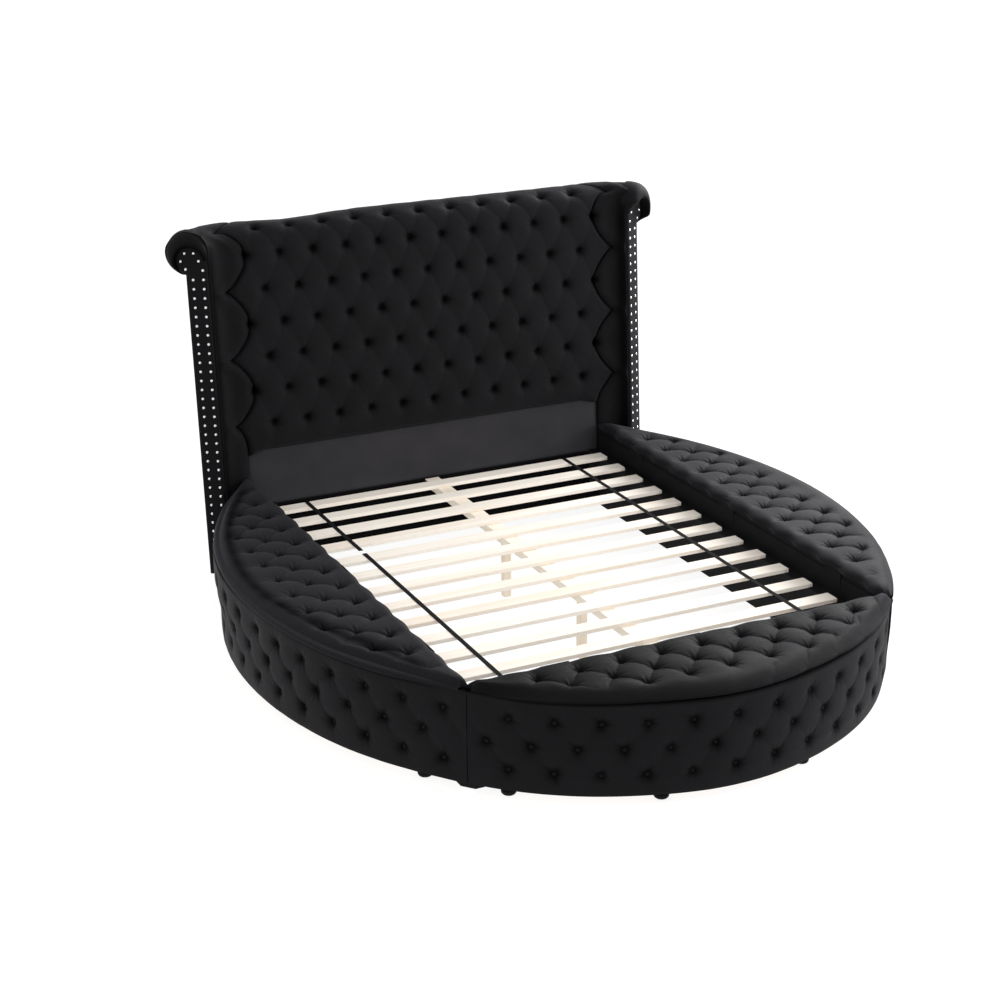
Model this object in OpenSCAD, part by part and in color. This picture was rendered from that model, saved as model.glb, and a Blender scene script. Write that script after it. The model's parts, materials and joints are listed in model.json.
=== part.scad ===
// Upholstered platform bed with a round plan.
// Two side benches and a foot bench hold storage under hinged, tufted lids,
// round a slatted mattress well. A leaning headboard with curved wings and a
// rolled crest closes the head end.
//
// Frame: X across the bed, Y from foot to head, Z up, millimetres, floor at 0.
// The drawing origin is the head end of the well at slat height on the middle
// line, and place() moves the whole bed so that its box is centred on X and Y.

/* [Mattress well] */
// Width of the mattress
mattress_w = 1524; // [1370:2:1600]
// Gap between the mattress and each bench
side_gap = 18; // [10:1:30]
// Length of the well at slat height
well_l = 2038; // [1900:1:2120]
// Height of the slats' top faces
slat_top = 271; // [250:1:290]

/* [Bench boxes] */
// Half angle of each side bench's outer arc
side_arc = 40; // [36:1:42]
// Distance from the head end of the well to the side arcs' ends
head_clear = 27; // [24:1:60]
// Height of the boxes' top edges
box_h = 335; // [320:1:360]
// Height of the boxes' lower rim above the floor
rim_h = 30; // [24:1:40]
// Height of the inner walls' lower edges above the floor
inner_wall_z = 12; // [6:1:20]
// Thickness of the straight inner walls
inner_wall_t = 18; // [15:1:24]
// Thickness of the curved outer walls
outer_wall_t = 15; // [12:1:20]
// Thickness of the box floors
floor_t = 12; // [9:1:18]
// Length of the solid blocks in the boxes' pointed ends, from the point
tip_block_l = 190; // [160:5:260]
// Thickness of the padded outer covers
cover_t = 24; // [16:1:32]
// Pitch of the tufts along a cover
cover_tuft = 146; // [130:1:160]
// Spacing of the rows of tufts up a cover
cover_row = 87; // [76:1:90]
// Height of a cover's lowest row of tufts above the floor
cover_first = 104; // [96:1:110]

/* [Bench feet] */
// Radius of a foot
foot_pad_r = 25; // [18:1:30]
// Distance of the feet inside the outer arc
foot_inset = 30; // [26:1:50]
// Angle of a side bench's inner pair of feet
side_foot_a1 = 10.3; // [5:0.1:16]
// Angle of a side bench's outer pair of feet
side_foot_a2 = 33.6; // [24:0.1:34]
// Angle of the foot bench's inner pair of feet
foot_foot_a1 = 15.2; // [8:0.1:22]
// Angle of the foot bench's outer pair of feet
foot_foot_a2 = 43; // [30:0.1:44]

/* [Lids] */
// Thickness of the lid boards
lid_board_t = 18; // [12:1:20]
// Height of a lid cushion's crown above its board
cushion_h = 35; // [28:1:44]
// Overhang of a lid cushion beyond the box arc
lid_over = 27; // [20:1:34]
// Distance of the lid cushion from the well's edge
lid_inset = 6; // [5.5:0.5:12]
// Pitch of the tufts along a lid
lid_tuft = 148; // [130:1:170]
// Spacing of the rows of tufts across a lid
lid_row = 84; // [70:1:100]
// Overhang of a lid board beyond the box arc
board_over = 4; // [2:1:8]
// How far covers and lids draw in towards the seams at the well's corners
corner_in = 14; // [6:1:16]

/* [Hinges] */
// Height of the hinge pins above the box edge
hinge_rise = 37; // [30:1:42]
// Length of a hinge
hinge_l = 100; // [70:1:140]
// Number of knuckles in a hinge, odd
hinge_knuckles = 5; // [3:2:7]
// Thickness of a hinge leaf
leaf_t = 2; // [1.5:0.1:2.5]
// Radius of a hinge barrel
barrel_r = 4.5; // [4:0.1:5]
// Radius of a hinge pin
pin_r = 2; // [1.5:0.1:2.4]
// Distance of the outer hinges from the middle one on a side bench
side_hinge_x = 700; // [400:5:800]
// Distance of the outer hinges from the middle one on the foot bench
foot_hinge_x = 480; // [300:5:600]

/* [Slats] */
// Number of slats
slat_n = 13; // [11:1:13]
// Width of a slat
slat_w = 60; // [50:1:70]
// Thickness of a slat
slat_t = 15; // [12:1:20]
// Length of a slat
slat_l = 1500; // [1300:2:1520]
// Pitch of the slats
slat_pitch = 152; // [140:0.5:156]
// Distance from the head end of the well to the first slat's foot edge
first_slat = 137; // [100:1:150]
// Width of the cleats under the slat ends
cleat_w = 48; // [44:1:60]
// Height of the cleats under the slat ends
cleat_h = 40; // [30:1:50]
// Distance of the webbing straps from the middle of the bed
strap_x = 574; // [450:1:640]
// Width of the webbing straps
strap_w = 17; // [12:1:25]
// Thickness of the webbing straps
strap_t = 1.6; // [1.2:0.1:3]
// Width of the middle beam
beam_w = 60; // [45:1:75]
// Height of the middle beam
beam_h = 30; // [24:1:45]
// Side of the square legs under the beam
beam_leg = 30; // [24:1:40]
// Distance of the first beam leg from the head end of the well
beam_leg_y1 = 705; // [500:5:800]
// Distance of the second beam leg from the head end of the well
beam_leg_y2 = 1323; // [1200:5:1500]

/* [Brackets] */
// Thickness of the steel brackets
bracket_t = 4; // [3:0.5:5]
// Leg of the angle brackets in the well's corners
bracket_leg = 46; // [35:1:60]
// Height of the angle brackets
bracket_h = 120; // [80:1:150]
// Length of the beam brackets along the beam
beam_bracket_l = 50; // [35:1:70]

/* [Headboard] */
// Lean of the headboard from upright
lean = 3.9; // [2:0.1:6]
// Half width of the headboard's flat middle
head_half = 775; // [700:1:780]
// Radius of the wings' inner faces in plan
wing_r = 145; // [120:1:170]
// Angle that the wings turn through
wing_turn = 57; // [45:1:65]
// Thickness of the headboard at its edges
head_t = 80; // [70:1:95]
// Clearance of the headboard's lower edge above the floor
head_z = 18; // [12:1:26]
// Distance of the board's front face behind the upholstered face
pad_t = 34; // [26:1:40]
// Thickness of the headboard's board
board_t = 28; // [22:1:34]
// Height of the roll's centre along the lean
roll_h = 1298; // [1180:1:1340]
// Distance of the roll's centre behind the upholstered face
roll_s = 78; // [74:1:84]
// Outer radius of the padded roll
roll_r = 92; // [86:1:98]
// Radius of the roll's wooden core
roll_core_r = 64; // [56:1:68]
// How far the padded roll stands out before a wing's front edge
roll_end_l = 26; // [14:1:32]
// Height of the tufted pad's lower edge along the lean
tuft_base = 473; // [440:1:520]
// How far the tufted pad stands out before the plain panel
tuft_stand = 16; // [8:1:24]
// Number of tuft diamonds across the headboard
tuft_cols = 11; // [9:1:13]
// Spacing of the rows of tufts up the headboard
tuft_row = 142; // [130:1:155]
// Height of the lowest row of buttons along the lean
tuft_first = 567; // [550:1:600]
// Radius of the glides under the headboard
glide_r = 13; // [10:1:14]

/* [Wing facings] */
// Thickness of the facing boards on the wings' front edges
facing_t = 8; // [6:1:12]
// Radius of the scroll at the top of a facing
scroll_r = 55; // [48:1:56]
// Height of the scroll's centre along the lean
scroll_h = 1265; // [1150:1:1300]
// Distance of the scroll's centre from the facing's inner edge
scroll_s = 69; // [60:1:75]
// Distance of the nails from the facing's edges
nail_inset = 20; // [14:1:26]
// Pitch of the nails
nail_pitch = 35.5; // [30:0.5:50]
// Radius of a nail's head
nail_r = 6; // [4:0.5:8]
// Height of a nail's head
nail_h = 3.5; // [2:0.5:5]

/* [Hidden] */
// Clearance between parts that move past or rest on each other
gap = 0.3;
// Clearance between bent boards and the faceted covers on them
skin_gap = 0.5;
// Half the clearance between two neighbouring lids or covers
seam_gap = 1.5;
// Radial clearance of a hinge pin in its barrels
pin_fit = 0.05;
// Clearance between two neighbouring knuckles
knuckle_fit = 0.5;
// Radius of the rounded rim of a bun foot
bun_r = 11;
// Overlap of cutting shapes beyond what they cut
cut = 5;
// A length well beyond the size of the bed
far = 4000;
// Radius of the eased edges of the planed timber
edge_r = 2;
// Radius of the dip that a button pulls into the padding
dip_r = 28;
// Radius of the rounded rim of the padded roll's ends
roll_end_r = 20;

well_half = mattress_w / 2 + side_gap;
foot_y = -well_l;
side_half = (well_l - head_clear) / 2;
side_r = side_half / sin(side_arc);
side_cy = foot_y + side_half;
foot_arc = 90 - side_arc;
foot_r = well_half / sin(foot_arc);
slat_z = slat_top - slat_t;

leaf_gap = 0.5;
hinge_w = leaf_gap / 2;
hinge_z = box_h + hinge_rise;
lid_z = box_h + gap;
lid_top = lid_z + lid_board_t;
board_w = leaf_gap + leaf_t;

// Where the headboard's upholstered face stands at height z, and at the floor
function face_y(z) = (z - slat_top) * tan(lean);
head_y0 = face_y(0);
back_y = head_y0 + roll_s * cos(lean) + roll_h * sin(lean) + roll_r;
front_y = foot_y - (foot_r - foot_r * cos(foot_arc)) - lid_over;
y_shift = -(front_y + back_y) / 2;

BENCHES = ["left", "right", "foot"];
SLATS = [for (i = [1:slat_n]) str("slat_", i)];

velvet = "#232327";
velvet_light = "#2f2f34";
pine = "#e6cfa8";
ply = "#b9925f";
black_board = "#1b1b1c";
webbing = "#17171a";
steel = "#8f9296";
silver = "#d4d6da";

// Moves the drawing origin so that the bed's box is centred over its own origin
module place() translate([0, y_shift, 0]) children();

// Half chord, outer radius and centre distance of a bench's outer arc
function half_of(b) = b == "foot" ? well_half : side_half;
function r_of(b) = b == "foot" ? foot_r : side_r;
function d_of(b) = r_of(b) * cos(b == "foot" ? foot_arc : side_arc);
function arc_of(b) = b == "foot" ? foot_arc : side_arc;

// Bench axes: x runs along the well's edge, y outwards from it. On a side bench
// x runs from head to foot.
module at_bench(b) {
    if (b == "right") translate([well_half, side_cy, 0]) rotate([0, 0, -90]) children();
    if (b == "left") mirror([1, 0, 0]) translate([well_half, side_cy, 0]) rotate([0, 0, -90]) children();
    if (b == "foot") translate([0, foot_y, 0]) rotate([0, 0, 180]) children();
}

module disc(b, r) translate([0, -d_of(b)]) circle(r = r, $fn = 360);
module outward_of(w) translate([-far / 2, w]) square([far, far]);

// Headboard axes: x across, y backwards from the upholstered face, z up the lean
module leaning() translate([0, head_y0, 0]) rotate([-lean, 0, 0]) children();

// Everything behind the headboard's front face, for cutting pieces that meet it
module behind_face(clear) leaning() translate([-far / 2, -clear, -far / 8]) cube([far, far / 4, far]);

// Puff of a diamond tuft: 0 on the fold lines, 1 at a diamond's middle
function puff(x, y, pitch, row) =
    pow(abs(sin(180 * (x / pitch + y / (2 * row))) * sin(180 * (x / pitch - y / (2 * row)))), 0.5);

// Nearest whole number of half pitches to a tuft's button, as a distance
function near(v) = v - round(v);
function button(x, y, pitch, row) =
    let (a = near(x / pitch + y / (2 * row)), b = near(x / pitch - y / (2 * row)))
    exp(-(pow((a + b) * pitch / 2, 2) + pow((a - b) * row, 2)) / (dip_r * dip_r));

// Smooth step from 0 at a to 1 at b
function ease(a, b, v) = let (q = min(1, max(0, (v - a) / (b - a)))) q * q * (3 - 2 * q);

// How far a cover or a lid is drawn in at t from -1 to 1 along its bench, towards the
// well's corners: the foot bench from near its middle, a side bench over its foot quarter
function drawn(b, t) = corner_in * (b == "foot" ? ease(0.05, 0.45, abs(t)) : ease(0.5, 1, t));

// Triangles of a skin through n rings of m points
function skin_walls(n, m) = concat(
    [for (i = [0:n - 2]) for (j = [0:m - 1]) [i * m + j, i * m + (j + 1) % m, (i + 1) * m + (j + 1) % m]],
    [for (i = [0:n - 2]) for (j = [0:m - 1]) [i * m + j, (i + 1) * m + (j + 1) % m, (i + 1) * m + j]]);

// The same skin with its two end faces fanned from point f of the end rings
function skin(n, m, f) = concat(
    skin_walls(n, m),
    [for (j = [1:m - 2]) [f, (f + j + 1) % m, (f + j) % m]],
    [for (j = [1:m - 2]) [(n - 1) * m + f, (n - 1) * m + (f + j) % m, (n - 1) * m + (f + j + 1) % m]]);

// Headboard sections, x backwards from the upholstered face and y up the lean

module roll_disc(r) translate([roll_s, roll_h]) circle(r = r, $fn = 120);

module head_outline() {
    square([head_t, roll_h]);
    roll_disc(roll_r);
}

module board_section() difference() {
    translate([pad_t, 0]) square([board_t, roll_h - roll_core_r / 2]);
    roll_disc(roll_core_r + gap);
}

// The upholstery in front of the board and over the front half of the roll
module front_section() difference() {
    intersection() {
        head_outline();
        translate([-far, 0]) square([far + roll_s, far]);
    }
    roll_disc(roll_core_r + gap);
    translate([pad_t, -cut]) square([far, roll_h]);
}

// The upholstery behind the board and over the back half of the roll
module back_section() difference() {
    head_outline();
    roll_disc(roll_core_r + gap);
    translate([-far, 0]) square([far + pad_t + board_t, roll_h]);
    translate([-far, 0]) square([far + roll_s, far]);
}

// A section carried straight across the middle of the headboard
module across(half) translate([-half, 0, 0]) rotate([90, 0, 90]) linear_extrude(2 * half) children();

// A section carried round one wing
module round_wing(side, turn) {
    module one() translate([head_half, -wing_r, 0]) rotate([0, 0, 90 - turn])
        rotate_extrude(angle = turn, $fn = 240) translate([wing_r, 0]) children();
    if (side > 0) one() children();
    else mirror([1, 0, 0]) one() children();
}

// The headboard stands level: its leaning pieces are cut off square to the floor
module standing() difference() {
    leaning() children();
    translate([-far / 2, -far / 2, -far]) cube([far, far, far + head_z]);
}

module headboard_board() color(ply) place() standing() {
    across(head_half) board_section();
    round_wing(1, wing_turn) board_section();
    round_wing(-1, wing_turn) board_section();
}

module crest_roll() color(ply) place() leaning() {
    across(head_half) roll_disc(roll_core_r);
    round_wing(1, wing_turn) roll_disc(roll_core_r);
    round_wing(-1, wing_turn) roll_disc(roll_core_r);
}

module plain_lower_panel() color(velvet_light) place() standing()
    across(head_half) square([pad_t, tuft_base - gap]);

// Axes of the right wing's front edge: x across it from the inner face, y up the
// lean, z forwards
module at_facing() translate([head_half, -wing_r, 0]) rotate([0, 0, 90 - wing_turn])
    translate([wing_r, 0, 0]) rotate([90, 0, 0]) children();

// The padded end of the roll, round the facing's scroll. The child keeps its
// front or its back half.
module roll_end(side) mirror([side > 0 ? 0 : 1, 0, 0]) at_facing() difference() {
    intersection() {
        translate([roll_s, roll_h, 0]) rotate_extrude($fn = 120) {
            square([roll_r - roll_end_r, roll_end_l]);
            square([roll_r, roll_end_l - roll_end_r]);
            translate([roll_r - roll_end_r, roll_end_l - roll_end_r]) circle(r = roll_end_r, $fn = 48);
        }
        children();
    }
    translate([0, 0, -cut]) linear_extrude(far) facing_outline(gap);
}

module front_half() translate([roll_s - far, 0, 0]) cube([far, far, far]);
module back_half() translate([roll_s, 0, 0]) cube([far, far, far]);

module wing_pad(side) color(velvet) place() standing() {
    round_wing(side, wing_turn) front_section();
    roll_end(side) front_half();
}

module headboard_back() color(velvet) place() standing() {
    across(head_half) back_section();
    for (side = [-1, 1]) {
        round_wing(side, wing_turn) back_section();
        roll_end(side) back_half();
    }
}

// Tufted pad: rings across the headboard, each running up the face, over the
// crest and back down inside along the board and the roll's core. Its rows of
// points stand at every half row of tufts up the face and every quarter on the
// roll, where heights are measured along the padding.
pad_pitch = 2 * head_half / tuft_cols;
pad_rings = 4 * tuft_cols;
pad_fold = 9;
pad_button = 6;
pad_tuck = 4;
pad_soft = 40;
pad_edge_least = 0.12;
pad_crest_a = 90 + asin(skin_gap / roll_core_r);
pad_face_h = concat([tuft_base, (tuft_base + tuft_first) / 2],
    [for (h = [tuft_first:tuft_row / 2:roll_h - tuft_row / 8]) h], [roll_h]);
pad_arc_end = roll_h + (180 - pad_crest_a) * roll_r * PI / 180;
pad_first_arc = tuft_first + ceil((roll_h + tuft_row / 8 - tuft_first) * 4 / tuft_row) * tuft_row / 4;
pad_arc_h = concat([for (h = [pad_first_arc:tuft_row / 4:pad_arc_end - tuft_row / 16]) h], [pad_arc_end]);
pad_h = concat(pad_face_h, pad_arc_h);
pad_face_n = len(pad_face_h) - 1;
pad_out_n = len(pad_h);
function roll_angle(h) = 180 - (h - roll_h) / roll_r * 180 / PI;
pad_arc_step = tuft_row * 3 / 8 / roll_r * 180 / PI;
pad_in_r = (roll_core_r + skin_gap) / cos(pad_arc_step / 2);
pad_in_a = 180 + acos((roll_s - pad_t) / pad_in_r);
pad_in_arc_n = len(pad_arc_h) + 3;

// Rounds the pad's lower edge and its two sides in
function pad_edge(v, lo, hi) = min(1, sqrt(max(0, min(v - lo, hi - v)) / pad_soft + pad_edge_least));

function pad_out(x, k) =
    let (h = pad_h[k],
         rise = pad_edge(x, -head_half, head_half) * pad_edge(h, tuft_base, far),
         t = h - tuft_first,
         out = tuft_stand * rise - pad_tuck * (1 - rise)
             - rise * (pad_fold * (1 - puff(x, t, pad_pitch, tuft_row))
             + pad_button * button(x, t, pad_pitch, tuft_row)),
         a = roll_angle(h), r = roll_s + out)
    k <= pad_face_n ? [x, -out, h] : [x, roll_s + r * cos(a), roll_h + r * sin(a)];

function pad_in_angle(k) =
    k == 0 ? pad_in_a : k == 1 ? (pad_in_a + 180) / 2 : k == 2 ? 180 : roll_angle(pad_arc_h[k - 3]);
function pad_in(x, k) = k < 0
    ? [x, pad_t, tuft_base]
    : [x, roll_s + pad_in_r * cos(pad_in_angle(k)), roll_h + pad_in_r * sin(pad_in_angle(k))];

// The inside points are numbered from the crest down to the pad's lower edge
pad_in_n = pad_in_arc_n + 1;
pad_m = pad_out_n + pad_in_n;
function pad_ring(x) = concat(
    [for (k = [0:pad_out_n - 1]) pad_out(x, k)],
    [for (k = [pad_in_arc_n - 1:-1:-1]) pad_in(x, k)]);

// The inside point that faces outside point k in a side face of the pad
function pad_mate(k) =
    let (i = k <= pad_face_n - 2 ? -1 : k == pad_face_n - 1 ? 0 : 2 + k - pad_face_n)
    pad_out_n + pad_in_arc_n - 1 - i;
function pad_side(o, flip) = concat(
    [for (k = [0:pad_out_n - 2]) flip ? [o + k, o + pad_mate(k), o + k + 1]
                                      : [o + k, o + k + 1, o + pad_mate(k)]],
    [for (k = [0:pad_out_n - 2]) for (q = [pad_mate(k + 1):1:pad_mate(k) - 1])
        flip ? [o + k + 1, o + q + 1, o + q] : [o + k + 1, o + q, o + q + 1]]);

module tufted_head_pad() {
    pts = [for (i = [0:pad_rings]) each pad_ring(-head_half + 2 * head_half * i / pad_rings)];
    n = pad_rings + 1;
    m = pad_m;
    faces = concat(
        skin_walls(n, m),
        pad_side(0, true), pad_side((n - 1) * m, false));
    color(velvet) place() leaning() polyhedron(pts, faces);
}

// Wing facings: boards on the wings' front edges with a scroll at the top
module facing_outline(clear) difference() {
    union() {
        translate([-clear, 0]) square([head_t + 2 * clear, scroll_h]);
        translate([scroll_s, scroll_h]) circle(r = scroll_r + clear, $fn = 96);
    }
    scroll_foot = scroll_h - sqrt(pow(scroll_r, 2) - pow(head_t - scroll_s, 2));
    translate([head_t + clear, -cut]) square([far, scroll_foot + cut]);
}

module right_facing() standing() at_facing() linear_extrude(facing_t) facing_outline(0);

module wing_facing(side) color(velvet) place() {
    if (side > 0) right_facing();
    else mirror([1, 0, 0]) right_facing();
}

// Nails run up both edges of a facing and round the scroll
arch_r = scroll_r - nail_inset;
arch_step = 60;
nail_low = head_z + nail_pitch;
nail_top = scroll_h - nail_pitch;
arch_nails = [for (a = [180:-arch_step:-arch_step])
    [scroll_s + arch_r * cos(a), scroll_h + arch_r * sin(a)]];
inner_nails = [for (z = [nail_top:-nail_pitch:nail_low]) [nail_inset, z]];
outer_nails = [for (z = [nail_top - nail_pitch:-nail_pitch:nail_low]) [head_t - nail_inset, z]];

module nail() intersection() {
    sphere_r = (nail_r * nail_r + nail_h * nail_h) / (2 * nail_h);
    translate([0, 0, nail_h - sphere_r]) sphere(r = sphere_r, $fn = 32);
    cylinder(r = nail_r + cut, h = nail_h + cut, $fn = 32);
}

module facing_nails() color(silver) place() for (side = [0, 1]) mirror([side, 0, 0])
    leaning() at_facing() for (p = concat(arch_nails, inner_nails, outer_nails))
        translate([p[0], p[1], facing_t]) nail();

// Glides under the board, two under the middle and one under each wing
module headboard_glides() color(black_board) place() {
    mid = pad_t + board_t / 2;
    turn = wing_turn * 3 / 4;
    wing_x = head_half + (wing_r + mid) * sin(turn);
    wing_y = -wing_r + (wing_r + mid) * cos(turn);
    for (p = [[-head_half / 2, mid], [head_half / 2, mid], [-wing_x, wing_y], [wing_x, wing_y]])
        translate([p[0], face_y(head_z) + p[1], 0]) cylinder(r = glide_r, h = head_z, $fn = 48);
}

// Bench boxes

// Room for a wing's lower part, which the pieces in the well's head corners stop against
module wing_room(side) leaning() round_wing(side, wing_turn)
    translate([-gap, -box_h]) square([head_t, 3 * box_h]);

module inner_wall(b) color(black_board) place() difference() {
    at_bench(b) translate([0, 0, inner_wall_z]) linear_extrude(box_h - inner_wall_z) {
        intersection() {
            disc(b, r_of(b));
            translate([-far / 2, 0]) square([far, inner_wall_t]);
        }
        if (b != "foot") translate([-half_of(b) - 3 * head_clear, 0])
            square([6 * head_clear, inner_wall_t]);
    }
    behind_face(gap);
    if (b != "foot") wing_room(b == "left" ? -1 : 1);
}

module outer_wall(b) color(ply) place() at_bench(b) translate([0, 0, rim_h])
    linear_extrude(box_h - rim_h) difference() {
        intersection() {
            disc(b, r_of(b));
            outward_of(inner_wall_t);
        }
        disc(b, r_of(b) - outer_wall_t);
    }

module cavity(b) intersection() {
    disc(b, r_of(b) - outer_wall_t - gap);
    outward_of(inner_wall_t);
}

module box_floor(b) color(ply) place() at_bench(b) translate([0, 0, rim_h]) linear_extrude(floor_t) cavity(b);

module tip_blocks() color(pine) place() for (b = BENCHES) at_bench(b)
    translate([0, 0, rim_h + floor_t]) linear_extrude(box_h - rim_h - floor_t) difference() {
        cavity(b);
        translate([tip_block_l - half_of(b), -cut]) square([2 * (half_of(b) - tip_block_l), far]);
    }

// A bun foot: a disc whose rim is a half circle, on a flat glide and under a neck
module bun_foot() rotate_extrude($fn = 48) {
    square([foot_pad_r - bun_r, 2 * bun_r]);
    translate([foot_pad_r - bun_r, bun_r]) intersection() {
        circle(r = bun_r, $fn = 48);
        translate([0, -bun_r]) square([bun_r, 2 * bun_r]);
    }
    square([foot_pad_r - bun_r, rim_h]);
}

module bench_feet() color(black_board) place() for (b = BENCHES) at_bench(b)
    for (a = b == "foot" ? [foot_foot_a1, foot_foot_a2] : [side_foot_a1, side_foot_a2]) for (s = [-1, 1])
        translate([0, -d_of(b), 0]) rotate([0, 0, -s * a]) translate([0, r_of(b) - foot_inset, 0]) bun_foot();

// Padded cover on a bench's outer wall. Its rings stand on radii of the arc, and
// each ring runs up the outside and down along the wall.
cover_rows = 3;
cover_shoulder = 0.95;
cover_z = concat([0], [for (k = [0:cover_rows - 1]) (cover_first - rim_h + k * cover_row) / (box_h - rim_h)],
    [cover_shoulder, 1]);
cover_puff = 5;
cover_button = 5;
cover_least = 1.5;
cover_tuck = 8;
cover_top_tuck = 3;
cover_soft = 8;

function cover_start(b, r, z) = b == "foot" ? -arc_of(b) + asin(seam_gap / r)
    : -min(acos((d_of(b) + inner_wall_t + gap) / r), asin((face_y(z) - side_cy - 2 * seam_gap) / r));
function cover_end(b, r) = arc_of(b) - asin(seam_gap / r);
function cover_n(b) = 4 * round(2 * arc_of(b) * PI / 180 * r_of(b) / cover_tuft);

function cover_point(b, i, z, k) =
    let (r0 = r_of(b), n = cover_n(b), t = i / n, h = rim_h + z * (box_h - rim_h),
         x = (i - n / 2) * cover_tuft / 4, y = h - cover_first,
         low = min(1, sqrt(z * cover_soft)), high = min(1, sqrt((1 - z) * cover_soft)),
         end = min(1, min(i, n - i) / 2),
         full = max(cover_puff + cover_button + cover_least, cover_t - drawn(b, 2 * t - 1)),
         out = full - cover_tuck * (1 - low) - cover_top_tuck * (1 - high)
             - low * high * end * (cover_puff * (1 - puff(x, y, cover_tuft, cover_row))
             + cover_button * button(x, y, cover_tuft, cover_row)),
         r = k ? r0 + out : r0 + skin_gap,
         a = cover_start(b, r, h) * (1 - t) + cover_end(b, r) * t)
    [r * sin(a), r * cos(a) - d_of(b), h];

module tufted_cover(b) {
    n = cover_n(b) + 1;
    m = len(cover_z) + 2;
    pts = [for (i = [0:n - 1]) each concat(
        [cover_point(b, i, 0, false)],
        [for (z = cover_z) cover_point(b, i, z, true)],
        [cover_point(b, i, 1, false)])];
    color(velvet) place() at_bench(b) polyhedron(pts, skin(n, m, m - 1));
}

// Lids: a board, a tufted cushion that laps over the board's outer edge, and
// hinge leaves on the board's inner edge

// How far a lid reaches along its bench at distance w from the well and height z:
// up to the seam between neighbours, and drawn back above the hinge pins so that
// neighbouring lids clear each other when both are open
function lid_reach(b, w, z) =
    min(half_of(b) + w * tan(arc_of(b)) - seam_gap, half_of(b) - max(-lid_over, z - hinge_z) - seam_gap);
// At the headboard a side lid stops short of the panel
function lid_head(b, z) = half_of(b) + head_clear - 5 * seam_gap + (lid_z - slat_top) * tan(lean);

module lid_board(b) color(black_board) place() at_bench(b) translate([0, 0, lid_z]) linear_extrude(lid_board_t)
    intersection() {
        disc(b, r_of(b) + board_over);
        outward_of(board_w);
        translate([-lid_reach(b, 0, lid_top) - (b == "foot" ? 0 : head_clear), 0])
            square([2 * lid_reach(b, 0, lid_top) + (b == "foot" ? 0 : head_clear), far]);
    }

lid_shoulder = 0.06;
lid_shares = [0.28, 0.48, 0.68, 0.87];
lid_rim = 0.95;
lid_fold = 7;
lid_button = 9;
lid_lip = box_h + 2;
lid_lip_in = 4;
lid_lip_t = 2;
lid_edge_h = 14;
lid_margin = 20;
lid_mask_l = 50;
lid_narrow_w = 120;
tip_share = 0.55;
round_power = 4;
end_share = 0.02;

// Shares of the cushion's width at which its rows of points stand: two at the
// inner edge, one on each row of buttons where the lid is wide, one at the rim
function lid_v(width) = concat([0, lid_shoulder],
    [for (k = [0:len(lid_shares) - 1]) min((k + 1) * lid_row / width, lid_shares[k])], [lid_rim]);

function lid_steps(b) = 2 * round(2 * half_of(b) / (lid_tuft / 2));
function lid_w_out(b, u, e) = sqrt(max(0, pow(r_of(b) + e, 2) - u * u)) - d_of(b);

// How far the cushion reaches at t from -1 (head or left end) to 1
function lid_end(b, t, w, z) = t > 0 || b == "foot" ? lid_reach(b, w, z) : lid_head(b, z);

// Overhang of the cushion at t, drawn in towards the well's corners
function lid_out(b, t) = max(board_over + skin_gap + lid_lip_in + lid_lip_t, lid_over - drawn(b, t));

// Point of the cushion's ring at t, at share v across its width
function lid_xy(b, t, v, z, e) =
    let (w0 = lid_w_out(b, t * lid_end(b, t, lid_inset, z), e),
         w1 = max(w0, lid_inset + 2 * seam_gap),
         w = lid_inset + v * (w1 - lid_inset))
    [t * lid_end(b, t, w, z), w];

function lid_crown(v) = sqrt(1 - pow(abs(2 * min(1 - end_share, max(end_share, v)) - 1), round_power));

function lid_top_z(b, t, v, u, w, width) =
    let (edge = min(min(v, 1 - v) * width, (1 - abs(t)) * half_of(b)),
         mask = min(1, max(0, (edge - lid_margin) / lid_mask_l)),
         full = tip_share + (1 - tip_share) * min(1, width / lid_narrow_w),
         body = lid_edge_h + (cushion_h - lid_edge_h) * lid_crown(v) * full,
         y = w - lid_row)
    lid_top + body - mask * (lid_fold * (1 - puff(u, y, lid_tuft, lid_row))
        + lid_button * button(u, y, lid_tuft, lid_row));

// Inner edge of the lip, beside the board's outer edge at length x
function lid_in(b, x) = max(lid_inset + seam_gap, lid_w_out(b, x, board_over + skin_gap));

function lid_ring(b, t) =
    let (over = lid_out(b, t),
         p1 = lid_xy(b, t, 1, lid_top, over),
         width = p1[1] - lid_inset,
         low = lid_xy(b, t, 1, lid_lip, over - lid_lip_in),
         in_x = t * lid_end(b, t, lid_in(b, low[0]), lid_lip),
         in_w = lid_in(b, in_x))
    concat(
        [let (p = lid_xy(b, t, 0, lid_top, over)) [p[0], p[1], lid_top]],
        [for (v = lid_v(width)) let (p = lid_xy(b, t, v, lid_top + cushion_h, over),
                                     z = lid_top_z(b, t, v, p[0], p[1], width)) [p[0], p[1], z]],
        [[p1[0], p1[1], lid_top + lid_lip_in]],
        [[low[0], low[1], lid_lip]],
        [[in_x, in_w, lid_lip]],
        [[in_x, in_w, lid_top]]);

module lid_cushion(b) {
    n = lid_steps(b);
    pts = [for (i = [0:n]) each lid_ring(b, 2 * i / n - 1)];
    m = len(lid_shares) + 8;
    color(velvet) place() at_bench(b) polyhedron(pts, skin(n + 1, m, m - 1));
}

// Hinges

function hinge_places(b) = b == "foot" ? [-foot_hinge_x, 0, foot_hinge_x] : [-side_hinge_x, 0, side_hinge_x];
knuckle_l = hinge_l / hinge_knuckles;
pin_head_r = 3.2;
pin_head_h = 1.5;

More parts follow.
